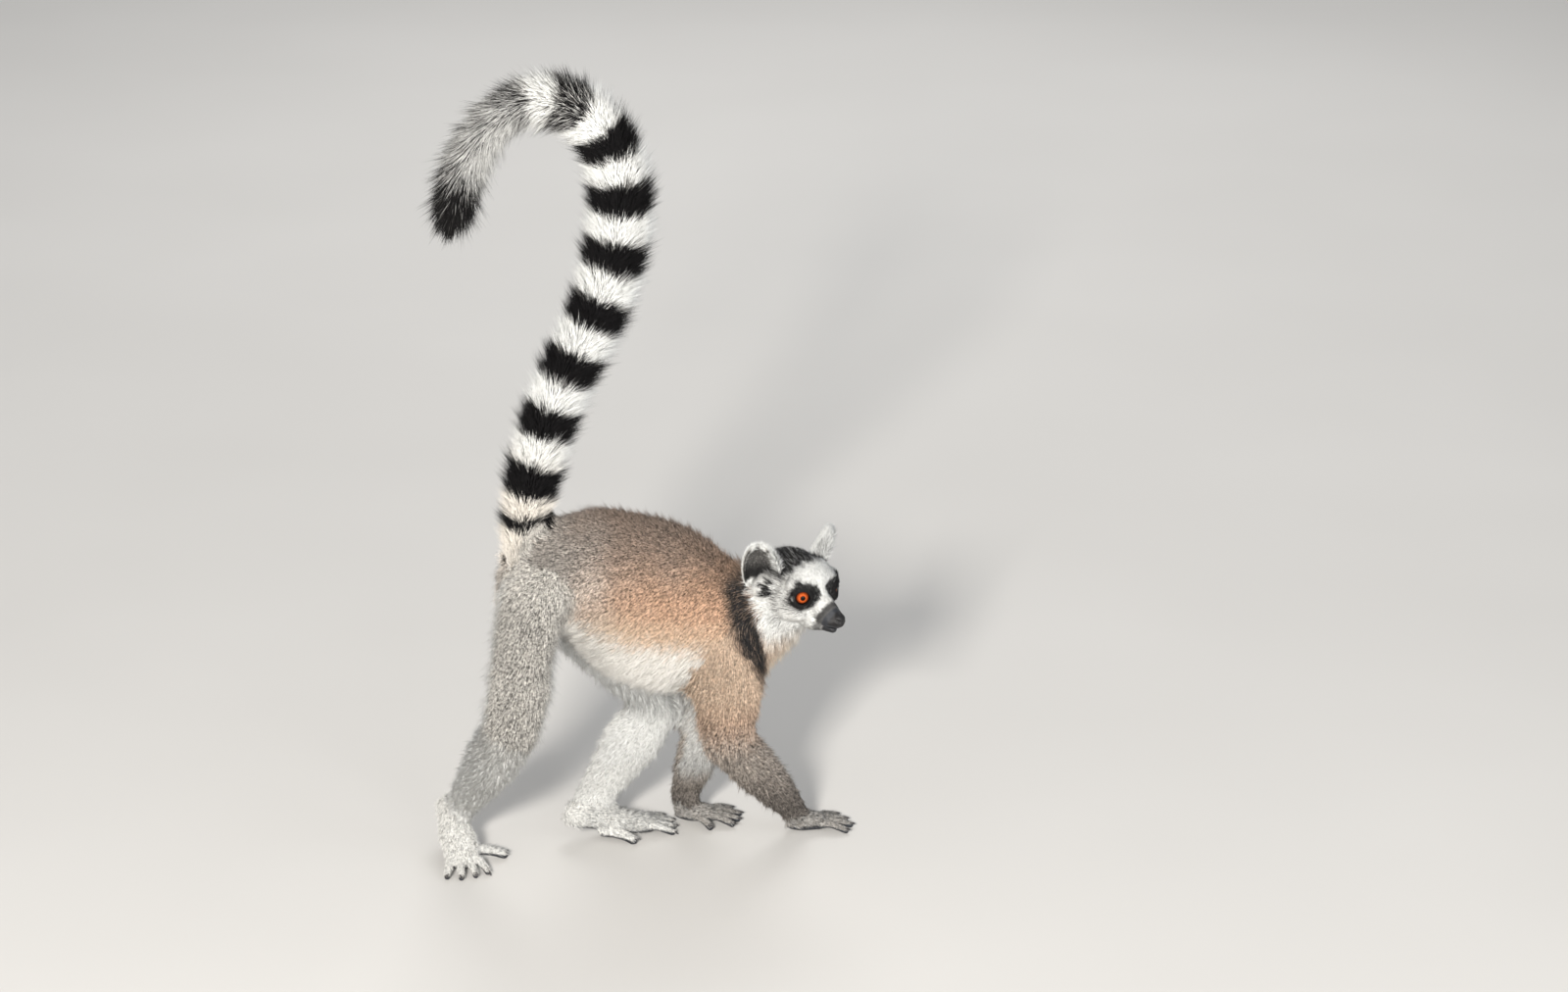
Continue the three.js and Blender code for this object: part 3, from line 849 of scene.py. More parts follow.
def paint_trunk(masks, s):
    """Brown-grey back with painted shade on its top, rufous flank and shoulder with painted light low on
    the flank, ash haunches, white underside and breast.
    """
    trunk, leg = s.on(*TRUNK), s.on("thigh", "shank")
    rear = ramp(s.x + 8 * s.drift + 3 * s.ragged, -14, -90)
    flank = ramp(s.x + 8 * s.drift, -75, 8) * ramp(s.z + 5 * s.drift, 300, 240)
    haunch = np.maximum(rear, ramp(s.z + 4 * s.ragged, 244, 200))
    # Darker on the upward-facing top of the back: painted shade where the top is less lit, over fur a
    # little darker along the spine.
    back_top_dark_and_shade = ramp(s.normals[:, 2] + 0.15 * s.wobble, 0.1, 0.8) * ramp(s.z, 225, 250)
    under = 205 - 0.235 * s.x + 0.012 * np.maximum(-s.x - 30, 0) ** 2 + 5 * s.ragged
    belly = ramp(s.z, under + 9, under - 5) * (s.x < 95)
    belly *= np.maximum(ramp(s.x, -108, -88), ramp(-s.normals[:, 2] + 0.1 * s.ragged, 0.0, 0.5))
    # Paler and creamier low on the flank, towards the belly line: the coat's own fade into the white belly,
    # with painted light where the lower flank is lit.
    flank_fade_and_light = 0.62 * ramp(s.z, under + 42, under) * ramp(s.x, -62, -35) * (s.x < 95)
    edge = ramp(s.z, under - 2, under + 14)
    paint(masks, trunk | s.on("tail"), ash=rear)
    paint(masks, leg, ash=haunch, warm=0.6 * flank * ramp(s.z, 205, 245), dark=0.1)
    paint(masks, trunk, warm=0.12 + 0.6 * flank, dark=0.53 * back_top_dark_and_shade)
    paint(masks, trunk, pale=np.maximum(belly, flank_fade_and_light), cream=mix(0.16, 0.75, edge))
    facing = 0.8 * s.normals[:, 0] - s.normals[:, 2] - 0.6 * np.abs(s.normals[:, 1])
    breast = ramp(facing + 0.1 * s.ragged, 0.15, 0.6) * s.on("chest", "neck") * ramp(s.x, 50, 70)
    masks["pale"] = np.maximum(masks["pale"], breast)


def paint_neck(masks, s):
    """A dark band behind the cheeks and a pale throat before it. Gives how much of a spot is throat."""
    front = s.on("neck", "chest", "upper_arm")
    line = 97 + 0.15 * (223 - s.z) + 2.0 * s.ragged
    wide = mix(13, 31, ramp(s.z, 170, 208))
    band = ramp(s.x, line - wide - 2, line - 0.6 * wide) * ramp(s.x, line + 3, line - 2)
    band *= ramp(s.z, 146, 180) * ramp(s.z, 264, 244)
    band *= 1 - 0.3 * ramp(s.tone, 0.84, 0.9)
    nape = 0.3 * ramp(s.z, 240, 256) * ramp(s.x, line - 30, line - 10)
    paint(masks, front, dark=np.maximum.reduce([band, nape, masks["dark"]]))
    throat = ramp(s.x, line - 1, line + 4) * front
    bright = (1 - masks["dark"]) * mix(0.45, 1.0, ramp(s.z, 180, 207))
    masks["pale"] = np.maximum(masks["pale"], throat * bright)
    paint(masks, front & (throat > 0.1), cream=0.6 * ramp(s.z, 212, 182))
    return throat


def paint_legs(masks, s):
    """Hind legs white inside and paler below the knee; ash feet with many white hairs."""
    ahead = ramp(s.inward + 0.5 * s.normals[:, 0], -0.1, 0.3) * ramp(s.z, 80, 110)
    inside = np.maximum(ramp(s.inward, -0.1, 0.3), ahead) * ramp(s.z, 45, 75)
    paint(masks, s.on("thigh", "shank"), pale=inside)
    below_knee = 0.85 * ramp(s.z + 5 * s.ragged, 185, 100)
    paint(masks, s.on("shank"), pale=np.maximum(masks["pale"], below_knee))
    white_hairs = 0.26 + 0.45 * ramp(s.tone, 0.3, 0.4)
    paint(masks, s.on("foot", "toe"), ash=1.0, pale=white_hairs * ramp(s.z, 2, 7))


def paint_arms(masks, s, throat):
    """Fore legs rufous above the elbow, with painted light making them paler towards the shoulder, and dark
    at the wrist, white inside; dark hands.
    """
    arm = s.on("upper_arm")
    upper = ramp(s.z + 5 * s.ragged, 92, 150)
    inside = ramp(s.inward, 0.15, 0.55) * ramp(s.z, 30, 60) * ramp(s.z, 225, 195)
    # Paler towards the shoulder: painted light where the shoulder is lit, on top of the pale throat hair
    # marked before.
    light = np.maximum(masks["pale"], 0.42 * ramp(s.z + 5 * s.ragged, 122, 160)) * arm
    wrist = mix(0.55 * ramp(s.z, 90, 25) + 0.1, 0.0, upper)
    paint(
        masks,
        arm | s.on("forearm"),
        ash=0.7 * (1 - upper),
        warm=mix(0.12, 0.55, upper),
        cream=np.where(throat < 0.1, 0.7, masks["cream"]) * (1 - inside),
        pale=np.maximum(light * (1 - masks["dark"]), 0.9 * inside),
        dark=np.maximum(masks["dark"] * arm, wrist),
    )
    paint(masks, s.on("hand", "finger"), ash=0.8, dark=0.4, pale=0.45 * (s.tone > 0.5))


def paint_tail(masks, s):
    """The tail's markings, with cream hair at its root."""
    tail = s.on("tail")
    spot = nearest_on(TAIL_LINE, s.points[tail])
    away = unit(s.points[tail] - TAIL_LINE[spot])
    behind = ramp(-away[:, 0] + 0.2 * s.wobble[tail], -0.1, 0.3)
    white, black, grizzled = tail_marks(TAIL_RUN[spot], behind, s.tone[tail], s.wobble[tail])
    masks["pale"][tail] = white
    masks["black"][tail] = black * mix(1.0, 0.8, grizzled)
    masks["dark"][tail] = (1 - white) * grizzled
    masks["cream"][tail] = mix(0.3, 0.0, ramp(TAIL_RUN[spot], 30 * MM, 110 * MM))
    masks["ash"][tail] = 1.0


def paint_head(masks, s):
    """The head's markings. Gives how much of each of its spots is snout."""
    head = s.on("head", "nose")
    black, dark, grey, snout = face_marks(s.head[head], s.wobble[head], s.tone[head])
    masks["black"][head] = black
    masks["dark"][head] = dark * (1 - black)
    masks["pale"][head] = 1 - 0.55 * grey
    masks["ash"][head] = 1.0
    masks["cream"][head] = 0.0
    return snout


def paint_ears(masks, s):
    """White ears with a dark hollow, dark streaks in the fringe before it and a black notch below it."""
    beside = s.on("head", "nose") & (s.head[:, 0] < -12) & (np.abs(s.head[:, 1]) > 20)
    ear = s.on("ear") | beside
    proper = s.on("ear")[ear]
    tone, wobble = s.tone[ear], s.wobble[ear]
    e, rim = on_ear(s.head[ear])
    facing = s.normals[ear] @ HEAD_AXES.T
    facing[:, 1] *= np.sign(s.head[ear][:, 1])
    inside = ramp((facing @ EAR_TURN)[:, 0], -0.1, 0.3)
    hollow = inside * ramp(rim, 1.0, 0.9) * ramp(e[:, 2], EAR_HEIGHT - 1, EAR_HEIGHT - 6)
    hollow *= ramp(e[:, 1] + wobble, -13, -9) * ramp(e[:, 2], 8, 12) * proper
    fringe = ramp(e[:, 1], -6, -10) * (e[:, 0] > -8) * ramp(e[:, 2], 42, 34)
    streak = fringe * ramp(tone, 0.58, 0.64)
    notch = np.hypot((e[:, 1] + 3.5) / 6.5, (e[:, 2] - 3.5) / 6.5) + 0.3 * wobble
    notch = ramp(notch, 1.1, 0.85) * (e[:, 0] > -7) * ramp(tone, 0.9, 0.8)
    white = 1 - np.maximum(hollow, notch)
    masks["pale"][ear] = np.where(proper, white, np.minimum(masks["pale"][ear], white))
    dark_hairs = 0.9 * (1 - 0.7 * ramp(tone, 0.86, 0.92))
    masks["dark"][ear] = np.maximum.reduce([masks["dark"][ear], hollow * dark_hairs, 0.8 * streak])
    masks["ash"][ear] = 1.0
    low = ramp(e[:, 2], 32, 17) * hollow * 0.9
    masks["black"][ear] = np.maximum.reduce([masks["black"][ear], low, notch])


def bare_skin(s, snout):
    """Nose, lids, palms and soles, and the ends of the digits."""
    head = s.on("head", "nose")
    x, _, z = s.head[head].T
    nose = np.zeros(len(s.points))
    nose[head] = ramp(snout, 0.3, 1.0) * ramp(x - 0.38 * (z + 12), 22.5, 25.0)
    lids = ramp(from_eye(s.head), 10.3, 9.4) * (s.head[:, 0] > 0) * head
    sole = s.on("foot", "toe", "hand", "finger") * ramp(-s.normals[:, 2] + ramp(s.z, 8, 3), 0.25, 0.75)
    tips = s.on("toe", "finger") * ramp(limb_share(s.points, s.owner), 0.78, 0.9)
    return np.maximum.reduce([nose, lids, sole, tips])


def markings(points, normals, owner, tone):
    """How much of each marking shows at each point."""
    masks = {name: np.zeros(len(points)) for name in MASKS}
    spots = Spots(points, normals, owner, tone)
    paint_trunk(masks, spots)
    throat = paint_neck(masks, spots)
    paint_legs(masks, spots)
    paint_arms(masks, spots, throat)
    paint_tail(masks, spots)
    snout = paint_head(masks, spots)
    paint_ears(masks, spots)
    masks["bare"] = bare_skin(spots, snout)
    return masks


# ---------------------------------------------------------------- how the coat lies


def raw_flow(points, owner):
    """The way the hair points at each place, before it follows the surface."""
    flow = np.tile(np.array([-1.0, 0, -0.35]), (len(points), 1))
    q = to_head(points)
    from_nose = unit(q - np.array([36.0, 0, -13.0])) + np.array([-0.3, 0, 0])
    head = is_kind(owner, "head", "nose")
    flow[head] = from_nose[head] @ HEAD_AXES
    neck = is_kind(owner, "neck")
    behind = unit(q - np.array([-20.0, 0, 0]))
    flow[neck] = behind[neck] @ HEAD_AXES + np.array([-0.6, 0, -0.5])
    ear = is_kind(owner, "ear")
    half = q[ear].copy()
    left = np.sign(half[:, 1])
    half[:, 1] *= left
    e = to_ear(half)
    fringe = ramp(e[:, 1], -7, -12)
    out = np.stack([0.15 + 0.3 * fringe, 0.03 * e[:, 1] + 0.9 * fringe, 1.0 + 0 * fringe], 1)
    out = out @ EAR_TURN.T.astype(float)
    out[:, 1] *= left
    flow[ear] = out @ HEAD_AXES
    tail = is_kind(owner, "tail")
    flow[tail] = TAIL_WAY[nearest_on(TAIL_LINE, points[tail])]
    for number, node in enumerate(FLESH):
        if node in LIMB_LINES:
            start, end = LIMB_LINES[node]
            back = 0.25 if kind(node) in ("thigh", "upper_arm") else 0.1
            flow[owner == number] = unit(end - start) + np.array([-back, 0, 0])
    return flow


def head_coat(q):
    """Length, width, spacing and lift of the tufts over the head, in millimetres and degrees."""
    x, y, z = q[:, 0], np.abs(q[:, 1]), q[:, 2]
    eye = from_eye(q)
    face = ramp(x, -26, 4)
    length = mix(8.0, 4.0, face)
    cheek = ramp(x, 2, -16) * ramp(z, 8, -6)
    length = mix(length, 9.5, cheek)
    length = mix(length, 4.5, ramp(np.hypot(x + 31, z - 1) + 0.5 * np.abs(y - 33), 14, 7))
    length = mix(length, 2.2, ramp(eye, 13.5, 10.0))
    length = mix(length, 1.9, ramp(x, 10, 24))
    lift = mix(mix(16, 13, face), 26, cheek)
    width = np.clip(0.32 + 0.04 * length, 0.38, 0.8)
    spacing = np.clip(0.42 + 0.045 * length, 0.5, 0.9)
    return length, width, spacing, lift


def coat_fields(mesh):
    """Everything the tufts need, at each point of the skin."""
    points, normals, edges = points_of(mesh), normals_of(mesh), edges_of(mesh)
    owner = owners(points)
    flow = raw_flow(points, owner)
    for _ in range(3):
        flow = unit(evened(flow - normals * (flow * normals).sum(1)[:, None], edges, 4))
    flow = unit(flow - normals * (flow * normals).sum(1)[:, None])
    size = np.stack([part_values(owner, column) for column in range(5)], 1)
    head = is_kind(owner, "head", "nose")
    size[head, LENGTH:] = np.stack(head_coat(to_head(points[head])), 1)
    run = TAIL_RUN[nearest_on(TAIL_LINE, points)]
    tail = is_kind(owner, "tail")
    past = ramp(run, TAIL_GREY_FROM - 30 * MM, TAIL_GREY_FROM + 30 * MM)
    size[tail, LIFT] = mix(COAT["tail"][LIFT], TAIL_END_LIFT, past[tail])
    size[tail, LENGTH] *= mix(0.72, 1.0, ramp(run[tail], 0, 90 * MM))
    ear = is_kind(owner, "ear")
    e, rim = on_ear(to_head(points[ear]))
    edge = np.maximum(ramp(rim, 0.8, 0.98), ramp(e[:, 2], 36, 47))
    fringe = ramp(e[:, 1], -8, -12)
    rim_length = mix(3.4, 6.0, ramp(e[:, 2], 30, 42))
    size[ear, LENGTH] = mix(mix(COAT["ear"][LENGTH], rim_length, edge), 7.5, fringe)
    size[ear, LIFT] = mix(COAT["ear"][LIFT], 34, fringe)
    taper = ramp(limb_share(points, owner), 0.6, 1.0) * is_kind(owner, "forearm", "shank")
    size[:, LENGTH] *= 1 - 0.4 * taper
    marks = markings(points, normals, owner, np.full(len(points), 0.5))
    white = marks["pale"] * (1 - marks["cream"])
    shaggy = white * is_kind(owner, "belly", "rump", "chest", "thigh")
    size[:, LENGTH] *= 1 + 0.4 * shaggy
    size[:, LIFT] += 4 * shaggy
    return {
        "points": points,
        "normals": normals,
        "owner": owner,
        "flow": flow,
        "size": evened(size, edges, 4),
        "marks": marks,
    }


# ---------------------------------------------------------------- an unwrap of the skin, part by part


def part_axis(node):
    """The line down the middle of a node, for unwrapping round it."""
    if node in LIMB_LINES:
        return LIMB_LINES[node]
    low, high = (np.array(v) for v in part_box(node))
    centre = (low + high) / 2
    if node in TAIL_NODES:
        number = TAIL_NODES.index(node)
        start = meeting("rump" if number == 0 else TAIL_NODES[number - 1], node)
        return start, farthest(node, start)
    if node == "neck":
        return meeting("chest", "neck"), meeting("neck", "head")
    if node == "head":
        return from_head(np.array([-64.0, 0, 0])), from_head(np.array([36.0, 0, -8.0]))
    if node.startswith("ear"):
        left = 1 if node.endswith("left") else -1
        foot, tip = (EAR_ROOT + EAR_TURN @ np.array([-6.0, 0, h], np.float32) for h in (-4.0, 52.0))
        return tuple(from_head(v * np.array([1, left, 1])) for v in (foot, tip))
    return np.array([low[0], centre[1], centre[2]]), np.array([high[0], centre[1], centre[2]])


OFF_AXIS = np.array([0.31, 0.2, 0.93])  # a direction that no part runs along


def unwrapped(points, normals, owner, nodes):
    """Each point's place on the unwrap of the given nodes: one row for each node."""
    place = np.zeros((len(points), 2))
    for row, node in enumerate(nodes):
        here = owner == FLESH.index(node)
        start, end = part_axis(node)
        way = unit(end - start)
        side = unit(np.cross(way, OFF_AXIS))
        top = np.cross(side, way)
        rel = points[here] - start
        around = np.arctan2(rel @ side, rel @ top) / (2 * np.pi) + 0.5
        if node.startswith("ear"):  # the inside of the cup and its back lie side by side
            around = around / 2 + 0.5 * ((normals[here] * rel).sum(1) > 0)
        along = np.clip((rel @ way) / np.linalg.norm(end - start), -0.1, 1.1) / 1.24 + 0.1
        place[here] = np.stack([0.01 + 0.98 * around, (row + 0.02 + 0.96 * along) / len(nodes)], 1)
    return place


# ---------------------------------------------------------------- tufts

PATCH = 0.003  # size of one tuft's patch on the unwrap

# A tuft is a closed spike: three corners round its root and a tip.
TUFT_FACES = np.array([(0, 2, 1), (0, 1, 3), (1, 2, 3), (2, 0, 3)])
TUFT_ALONG = np.array([0.0, 0.0, 0.0, 1.0])  # where each corner lies along the tuft
TUFT_ACROSS = np.array([-0.5, 0.5, 0.0, 0.0])  # and across it
TUFT_GIRTH = 0.8  # width at the root, as a share of the width that the table gives
SUNK_ROOT = 0.05  # how much of a tuft's length lies under the skin
GUARD_SHARE = 0.12  # share of longer hairs that stand farther out
MOST_LIFT = math.radians(52)


def tuft_corners(root, normal, flow, length, width, lift):
    """The corners of every tuft: flat towards the skin, with a ridge on top, along the lie of the coat."""
    half = normal * (width * TUFT_GIRTH / 2)[:, None]
    side = np.cross(half, flow)
    foot = root - normal * (SUNK_ROOT * length)[:, None]
    way = flow * np.cos(lift)[:, None] + normal * np.sin(lift)[:, None]
    low = foot - 0.35 * half
    return np.stack([low - side, low + side, foot + 0.75 * half, root + way * length[:, None]], 1)


def planted(mesh, fields):
    """Even, random roots over the skin, as close as the spacing says, with the skin's values there."""
    mesh.calc_loop_triangles()
    corner = np.empty(len(mesh.loop_triangles) * 3, np.int32)
    mesh.loop_triangles.foreach_get("vertices", corner)
    corner = corner.reshape(-1, 3)
    first, second, third = fields["points"][corner].transpose(1, 0, 2)
    area = np.linalg.norm(np.cross(second - first, third - first), axis=1) / 2
    spacing = fields["size"][:, SPACING] * MM
    density = (1 - ramp(fields["marks"]["bare"], 0.3, 0.7)) / spacing**2
    total = np.cumsum(area * density[corner].mean(1))
    count = int(total[-1])
    picks = np.searchsorted(total, np.arange(count) + rng.random(count))
    corner = corner[np.clip(picks, 0, len(corner) - 1)]
    a, b = np.sqrt(rng.random(count)), rng.random(count)
    weight = np.stack([1 - a, a * (1 - b), a * b], 1)

    def at(values):
        return (values[corner] * weight.reshape(weight.shape + (1,) * (values.ndim - 1))).sum(1)

    return {
        "root": at(fields["points"]),
        "normal": unit(at(fields["normals"])),
        "flow": at(fields["flow"]),
        "size": at(fields["size"]),
        "owner": fields["owner"][corner[:, 0]],
    }


def coat_pieces():
    """The nodes that each coat piece grows from, and the key of the fur material that it is dressed in."""
    pieces = {
        "coat_back": (["rump"], "grey_fur"),
        "coat_belly": (["belly"], "brown_fur"),
        "coat_chest": (["chest"], "brown_fur"),
        "coat_neck": (["neck"], "white_fur"),
        "coat_head": (["head"], "white_fur"),
        "coat_ears": (["ear_right", "ear_left"], "white_fur"),
        "coat_tail_lower": (TAIL_NODES[:4], "tail_fur"),
        "coat_tail_upper": (TAIL_NODES[4:], "tail_fur"),
    }
    for side in SIDES:
        toes = [f"toe_{side}_{i}" for i in DIGITS]
        fingers = [f"finger_{side}_{i}" for i in DIGITS]
        pieces[f"coat_hind_leg_{side}"] = ([f"thigh_{side}", f"shank_{side}"], "grey_fur")
        pieces[f"coat_fore_leg_{side}"] = ([f"upper_arm_{side}", f"forearm_{side}"], "brown_fur")
        pieces[f"coat_foot_{side}"] = ([f"foot_{side}"] + toes, "grey_fur")
        pieces[f"coat_hand_{side}"] = ([f"hand_{side}"] + fingers, "grey_fur")
    return pieces


def tuft_shapes(plants, here):
    """The corners of the tufts that are here, and each tuft's own tone."""
    root, normal, flow = plants["root"][here], plants["normal"][here], plants["flow"][here]
    owner, size = plants["owner"][here], plants["size"][here]
    count = len(root)
    tone = rng.random(count)
    length = size[:, LENGTH] * MM * rng.uniform(0.72, 1.18, count)
    width = size[:, WIDTH] * MM * rng.uniform(0.75, 1.25, count)
    guard = rng.random(count) < GUARD_SHARE
    length *= 1 + 0.18 * guard
    lift = np.radians(size[:, LIFT] * rng.uniform(0.5, 1.35, count) * (1 + 0.6 * guard))
    ruffle = soft_noise(root, 7 * MM, 21) + 0.5 * soft_noise(root, 3.5 * MM, 22)
    ruffled = ~is_kind(owner, "head", "nose", "ear", "hand", "finger", "toe")
    length *= 1 + 0.14 * ruffle * ruffled
    lift *= 1 + 0.45 * np.clip(ruffle, -1.2, 1.2) * ruffled
    lift = np.minimum(lift, MOST_LIFT)
    clump = np.stack([soft_noise(root, 14 * MM, 10 + k) for k in range(3)], 1)
    flow = flow + 0.08 * clump + rng.normal(0, 0.12, (count, 3))
    flow = unit(flow - normal * (flow * normal).sum(1)[:, None])
    corners = tuft_corners(root, normal, flow, length, width, lift)
    corners[..., 2] = np.maximum(corners[..., 2], FLOOR_GAP)
    return corners, tone


def tuft_piece(name, nodes, plants, material):
    """One coat piece: every tuft that grows from the given nodes."""
    here = np.isin(plants["owner"], [FLESH.index(n) for n in nodes])
    root, normal, owner = plants["root"][here], plants["normal"][here], plants["owner"][here]
    corners, tone = tuft_shapes(plants, here)
    count = len(root)
    faces = (TUFT_FACES + 4 * np.arange(count)[:, None, None]).reshape(-1, 3)
    mesh = new_mesh(name, corners.reshape(-1, 3), faces)
    marks = markings(root, normal, owner, tone)
    values = {"along": np.tile(TUFT_ALONG, count), "tone": np.repeat(tone, 4)}
    values.update({mark: np.repeat(marks[mark], 4) for mark in FUR_MASKS})
    for key, value in values.items():
        set_values(mesh, key, value)
    patch = np.stack([TUFT_ACROSS, TUFT_ALONG - 0.5], 1) * PATCH
    places = (unwrapped(root, normal, owner, nodes)[:, None] + patch).reshape(-1, 2)
    layer = mesh.uv_layers.new(name="OFBake")
    layer.data.foreach_set("uv", places[faces.ravel()].astype(np.float32).ravel())
    dress(mesh, material)
    return placed(name, mesh)


# ---------------------------------------------------------------- materials

GREY_BROWN = (0.385, 0.30, 0.245)
ASH = (0.52, 0.50, 0.465)
RUFOUS = (0.54, 0.345, 0.225)
WHITE = (0.93, 0.935, 0.915)
CREAM = (0.80, 0.62, 0.42)
CHARCOAL = (0.026, 0.025, 0.025)
BLACK = (0.008, 0.0075, 0.008)
SLATE = (0.026, 0.029, 0.035)

IRIS_RADIUS = 5.5
PUPIL_RADIUS = 2.15
BEHIND_THE_EYE = 20.0  # added to the distance from the pole on the ball's far half, past any ring
IRIS_DEEP = (0.22, 0.026, 0.006)
IRIS_BRIGHT = (0.62, 0.125, 0.022)
IRIS_RIM = (0.10, 0.02, 0.008)
PUPIL_BLACK = (0.002, 0.002, 0.002)
EYEBALL_BROWN = (0.015, 0.008, 0.006)

HORN = (0.012, 0.011, 0.012)
PALE_HORN = (0.06, 0.052, 0.05)
FLOOR_PALE = (0.66, 0.645, 0.62)
FLOOR_GREY = (0.60, 0.585, 0.56)


def link_or_set(tree, socket, value):
    """Links an output to a socket, or sets the socket to a number or a colour."""
    if isinstance(value, bpy.types.NodeSocket):
        tree.links.new(value, socket)
    else:
        socket.default_value = value


def add_node(tree, node_type, inputs=None, **settings):
    """A node with its settings made and its inputs set or linked."""
    node = tree.nodes.new(node_type)
    for key, value in settings.items():
        setattr(node, key, value)
    for key, value in (inputs or {}).items():
        link_or_set(tree, node.inputs[key], value)
    return node


def colour(rgb):
    return (*rgb, 1.0)


def blend_colours(tree, factor, a, b, mode="MIX"):
    """The colour between a and b, which are colours or outputs."""
    node = add_node(tree, "ShaderNodeMix", data_type="RGBA", blend_type=mode)
    for index, value in ((0, factor), (6, a), (7, b)):
        link_or_set(tree, node.inputs[index], colour(value) if isinstance(value, tuple) else value)
    return node.outputs[2]


def shaded(tree, base, shade):
    """A colour darkened or lightened by a value."""
    return blend_colours(tree, 1.0, base, shade, "MULTIPLY")


def scaled(tree, value, low, high, to_low, to_high):
    """A value, moved from one range to another and kept inside it."""
    inputs = {"Value": value, "From Min": low, "From Max": high, "To Min": to_low, "To Max": to_high}
    return add_node(tree, "ShaderNodeMapRange", inputs).outputs["Result"]


def worked_out(tree, operation, a, b):
    return add_node(tree, "ShaderNodeMath", {0: a, 1: b}, operation=operation).outputs[0]


def object_place(tree):
    return add_node(tree, "ShaderNodeTexCoord").outputs["Object"]


def noise(tree, place, scale, detail=2.0):
    inputs = {"Vector": place, "Scale": scale, "Detail": detail}
    return add_node(tree, "ShaderNodeTexNoise", inputs).outputs[0]


def group_with(name, inputs, outputs):
    """An empty shader group with named inputs and outputs, and its two end nodes' sockets."""
    group = bpy.data.node_groups.new(name, "ShaderNodeTree")
    for label, default in inputs.items():
        coloured = isinstance(default, tuple)
        socket_type = "NodeSocketColor" if coloured else "NodeSocketFloat"
        socket = group.interface.new_socket(label, in_out="INPUT", socket_type=socket_type)
        socket.default_value = colour(default) if coloured else default
    for label, socket_type in outputs.items():
        group.interface.new_socket(label, in_out="OUTPUT", socket_type=socket_type)
    start, end = group.nodes.new("NodeGroupInput"), group.nodes.new("NodeGroupOutput")
    return group, start.outputs, end.inputs


def coat_colour_group():
    """Colour of a hair from its markings, its own tone and the distance along it."""
    group, get, put = group_with(
        "Coat colour",
        {
            "Along": 0.5,
            "Tone": 0.5,
            **{mark: 0.0 for mark in FUR_MASKS},
            "Speckle": 0.35,
            "Grey brown": GREY_BROWN,
            "Ash": ASH,
            "Rufous": RUFOUS,
            "White": WHITE,
            "Cream": CREAM,
            "Charcoal": CHARCOAL,
            "Black": BLACK,
        },
        {"Color": "NodeSocketColor"},
    )
    base = blend_colours(group, get["ash"], get["Grey brown"], get["Ash"])
    base = blend_colours(group, get["warm"], base, get["Rufous"])
    # Single hairs and small patches of hair are lighter and darker, and hair is darker towards its root:
    # partly its own dark base, partly painted shade deep in the coat.
    grain = scaled(group, noise(group, object_place(group), 430.0), 0.38, 0.62, 0.0, 1.0)
    speckle = add_node(group, "ShaderNodeMix", {0: 0.55, 2: get["Tone"], 3: grain}).outputs[0]
    spread = worked_out(group, "MULTIPLY", worked_out(group, "SUBTRACT", speckle, 0.5), get["Speckle"])
    lightness = scaled(group, spread, -0.5, 0.5, 0.0, 2.0)
    dark_base_and_root_shade = scaled(group, get["Along"], 0.0, 0.6, 0.5, 1.08)
    base = shaded(group, base, worked_out(group, "MULTIPLY", lightness, dark_base_and_root_shade))
    white = blend_colours(group, get["cream"], get["White"], get["Cream"])
    # White hair is darker towards its root: painted shade deep in the coat.
    white = shaded(group, white, scaled(group, get["Along"], 0.0, 0.7, 0.66, 1.0))
    white = shaded(group, white, scaled(group, speckle, 0.0, 0.75, 0.7, 1.0))
    base = blend_colours(group, get["pale"], base, white)
    dark = shaded(group, get["Charcoal"], scaled(group, get["Tone"], 0.0, 1.0, 0.5, 1.7))
    base = blend_colours(group, get["dark"], base, dark)
    base = blend_colours(group, get["black"], base, get["Black"])
    group.links.new(base, put["Color"])
    return group


def relief_group():
    """Relief of the skin itself: fine hair, or the cracks of leather where it is bare."""
    inputs = {"Leather": 0.0, "Strength": 0.4}
    group, get, put = group_with("Skin relief", inputs, {"Normal": "NodeSocketVector"})
    place = object_place(group)
    hair = noise(group, place, 900.0)
    cracks = add_node(group, "ShaderNodeTexVoronoi", {"Vector": place, "Scale": 2400.0}, feature="F1")
    height = add_node(group, "ShaderNodeMix", {0: get["Leather"], 2: hair, 3: cracks.outputs[0]})
    relief_inputs = {"Height": height.outputs[0], "Strength": get["Strength"], "Distance": 0.6 * MM}
    relief = add_node(group, "ShaderNodeBump", relief_inputs)
    group.links.new(relief.outputs["Normal"], put["Normal"])
    return group


COAT_COLOUR = coat_colour_group()
SKIN_RELIEF = relief_group()


def new_material(name, **sockets):
    """A material, its tree and its shader, with values set on the shader's own sockets."""
    material = bpy.data.materials.new(name)
    material.use_nodes = True
    shader = material.node_tree.nodes["Principled BSDF"]
    for key, value in sockets.items():
        shader.inputs[key.replace("_", " ")].default_value = value
    return material, material.node_tree, shader


def attribute(tree, name):
    return add_node(tree, "ShaderNodeAttribute", attribute_name=name).outputs["Fac"]


def marked_colour(tree, along, tone, speckle):
    """The colour of hair where the markings put it, from the skin's or the coat's own attributes."""
    inputs = {mark: attribute(tree, mark) for mark in FUR_MASKS}
    inputs.update({"Along": along, "Tone": tone, "Speckle": speckle})
    return add_node(tree, "ShaderNodeGroup", inputs, node_tree=COAT_COLOUR).outputs["Color"]


def fur_material(name, speckle, roughness, gloss=0.2):
    """Hair in the colours of its markings, matt, with a faint gloss."""
    material, tree, shader = new_material(name, Roughness=roughness, Specular_IOR_Level=gloss)
    tint = marked_colour(tree, attribute(tree, "along"), attribute(tree, "tone"), speckle)
    tree.links.new(tint, shader.inputs["Base Color"])
    return material


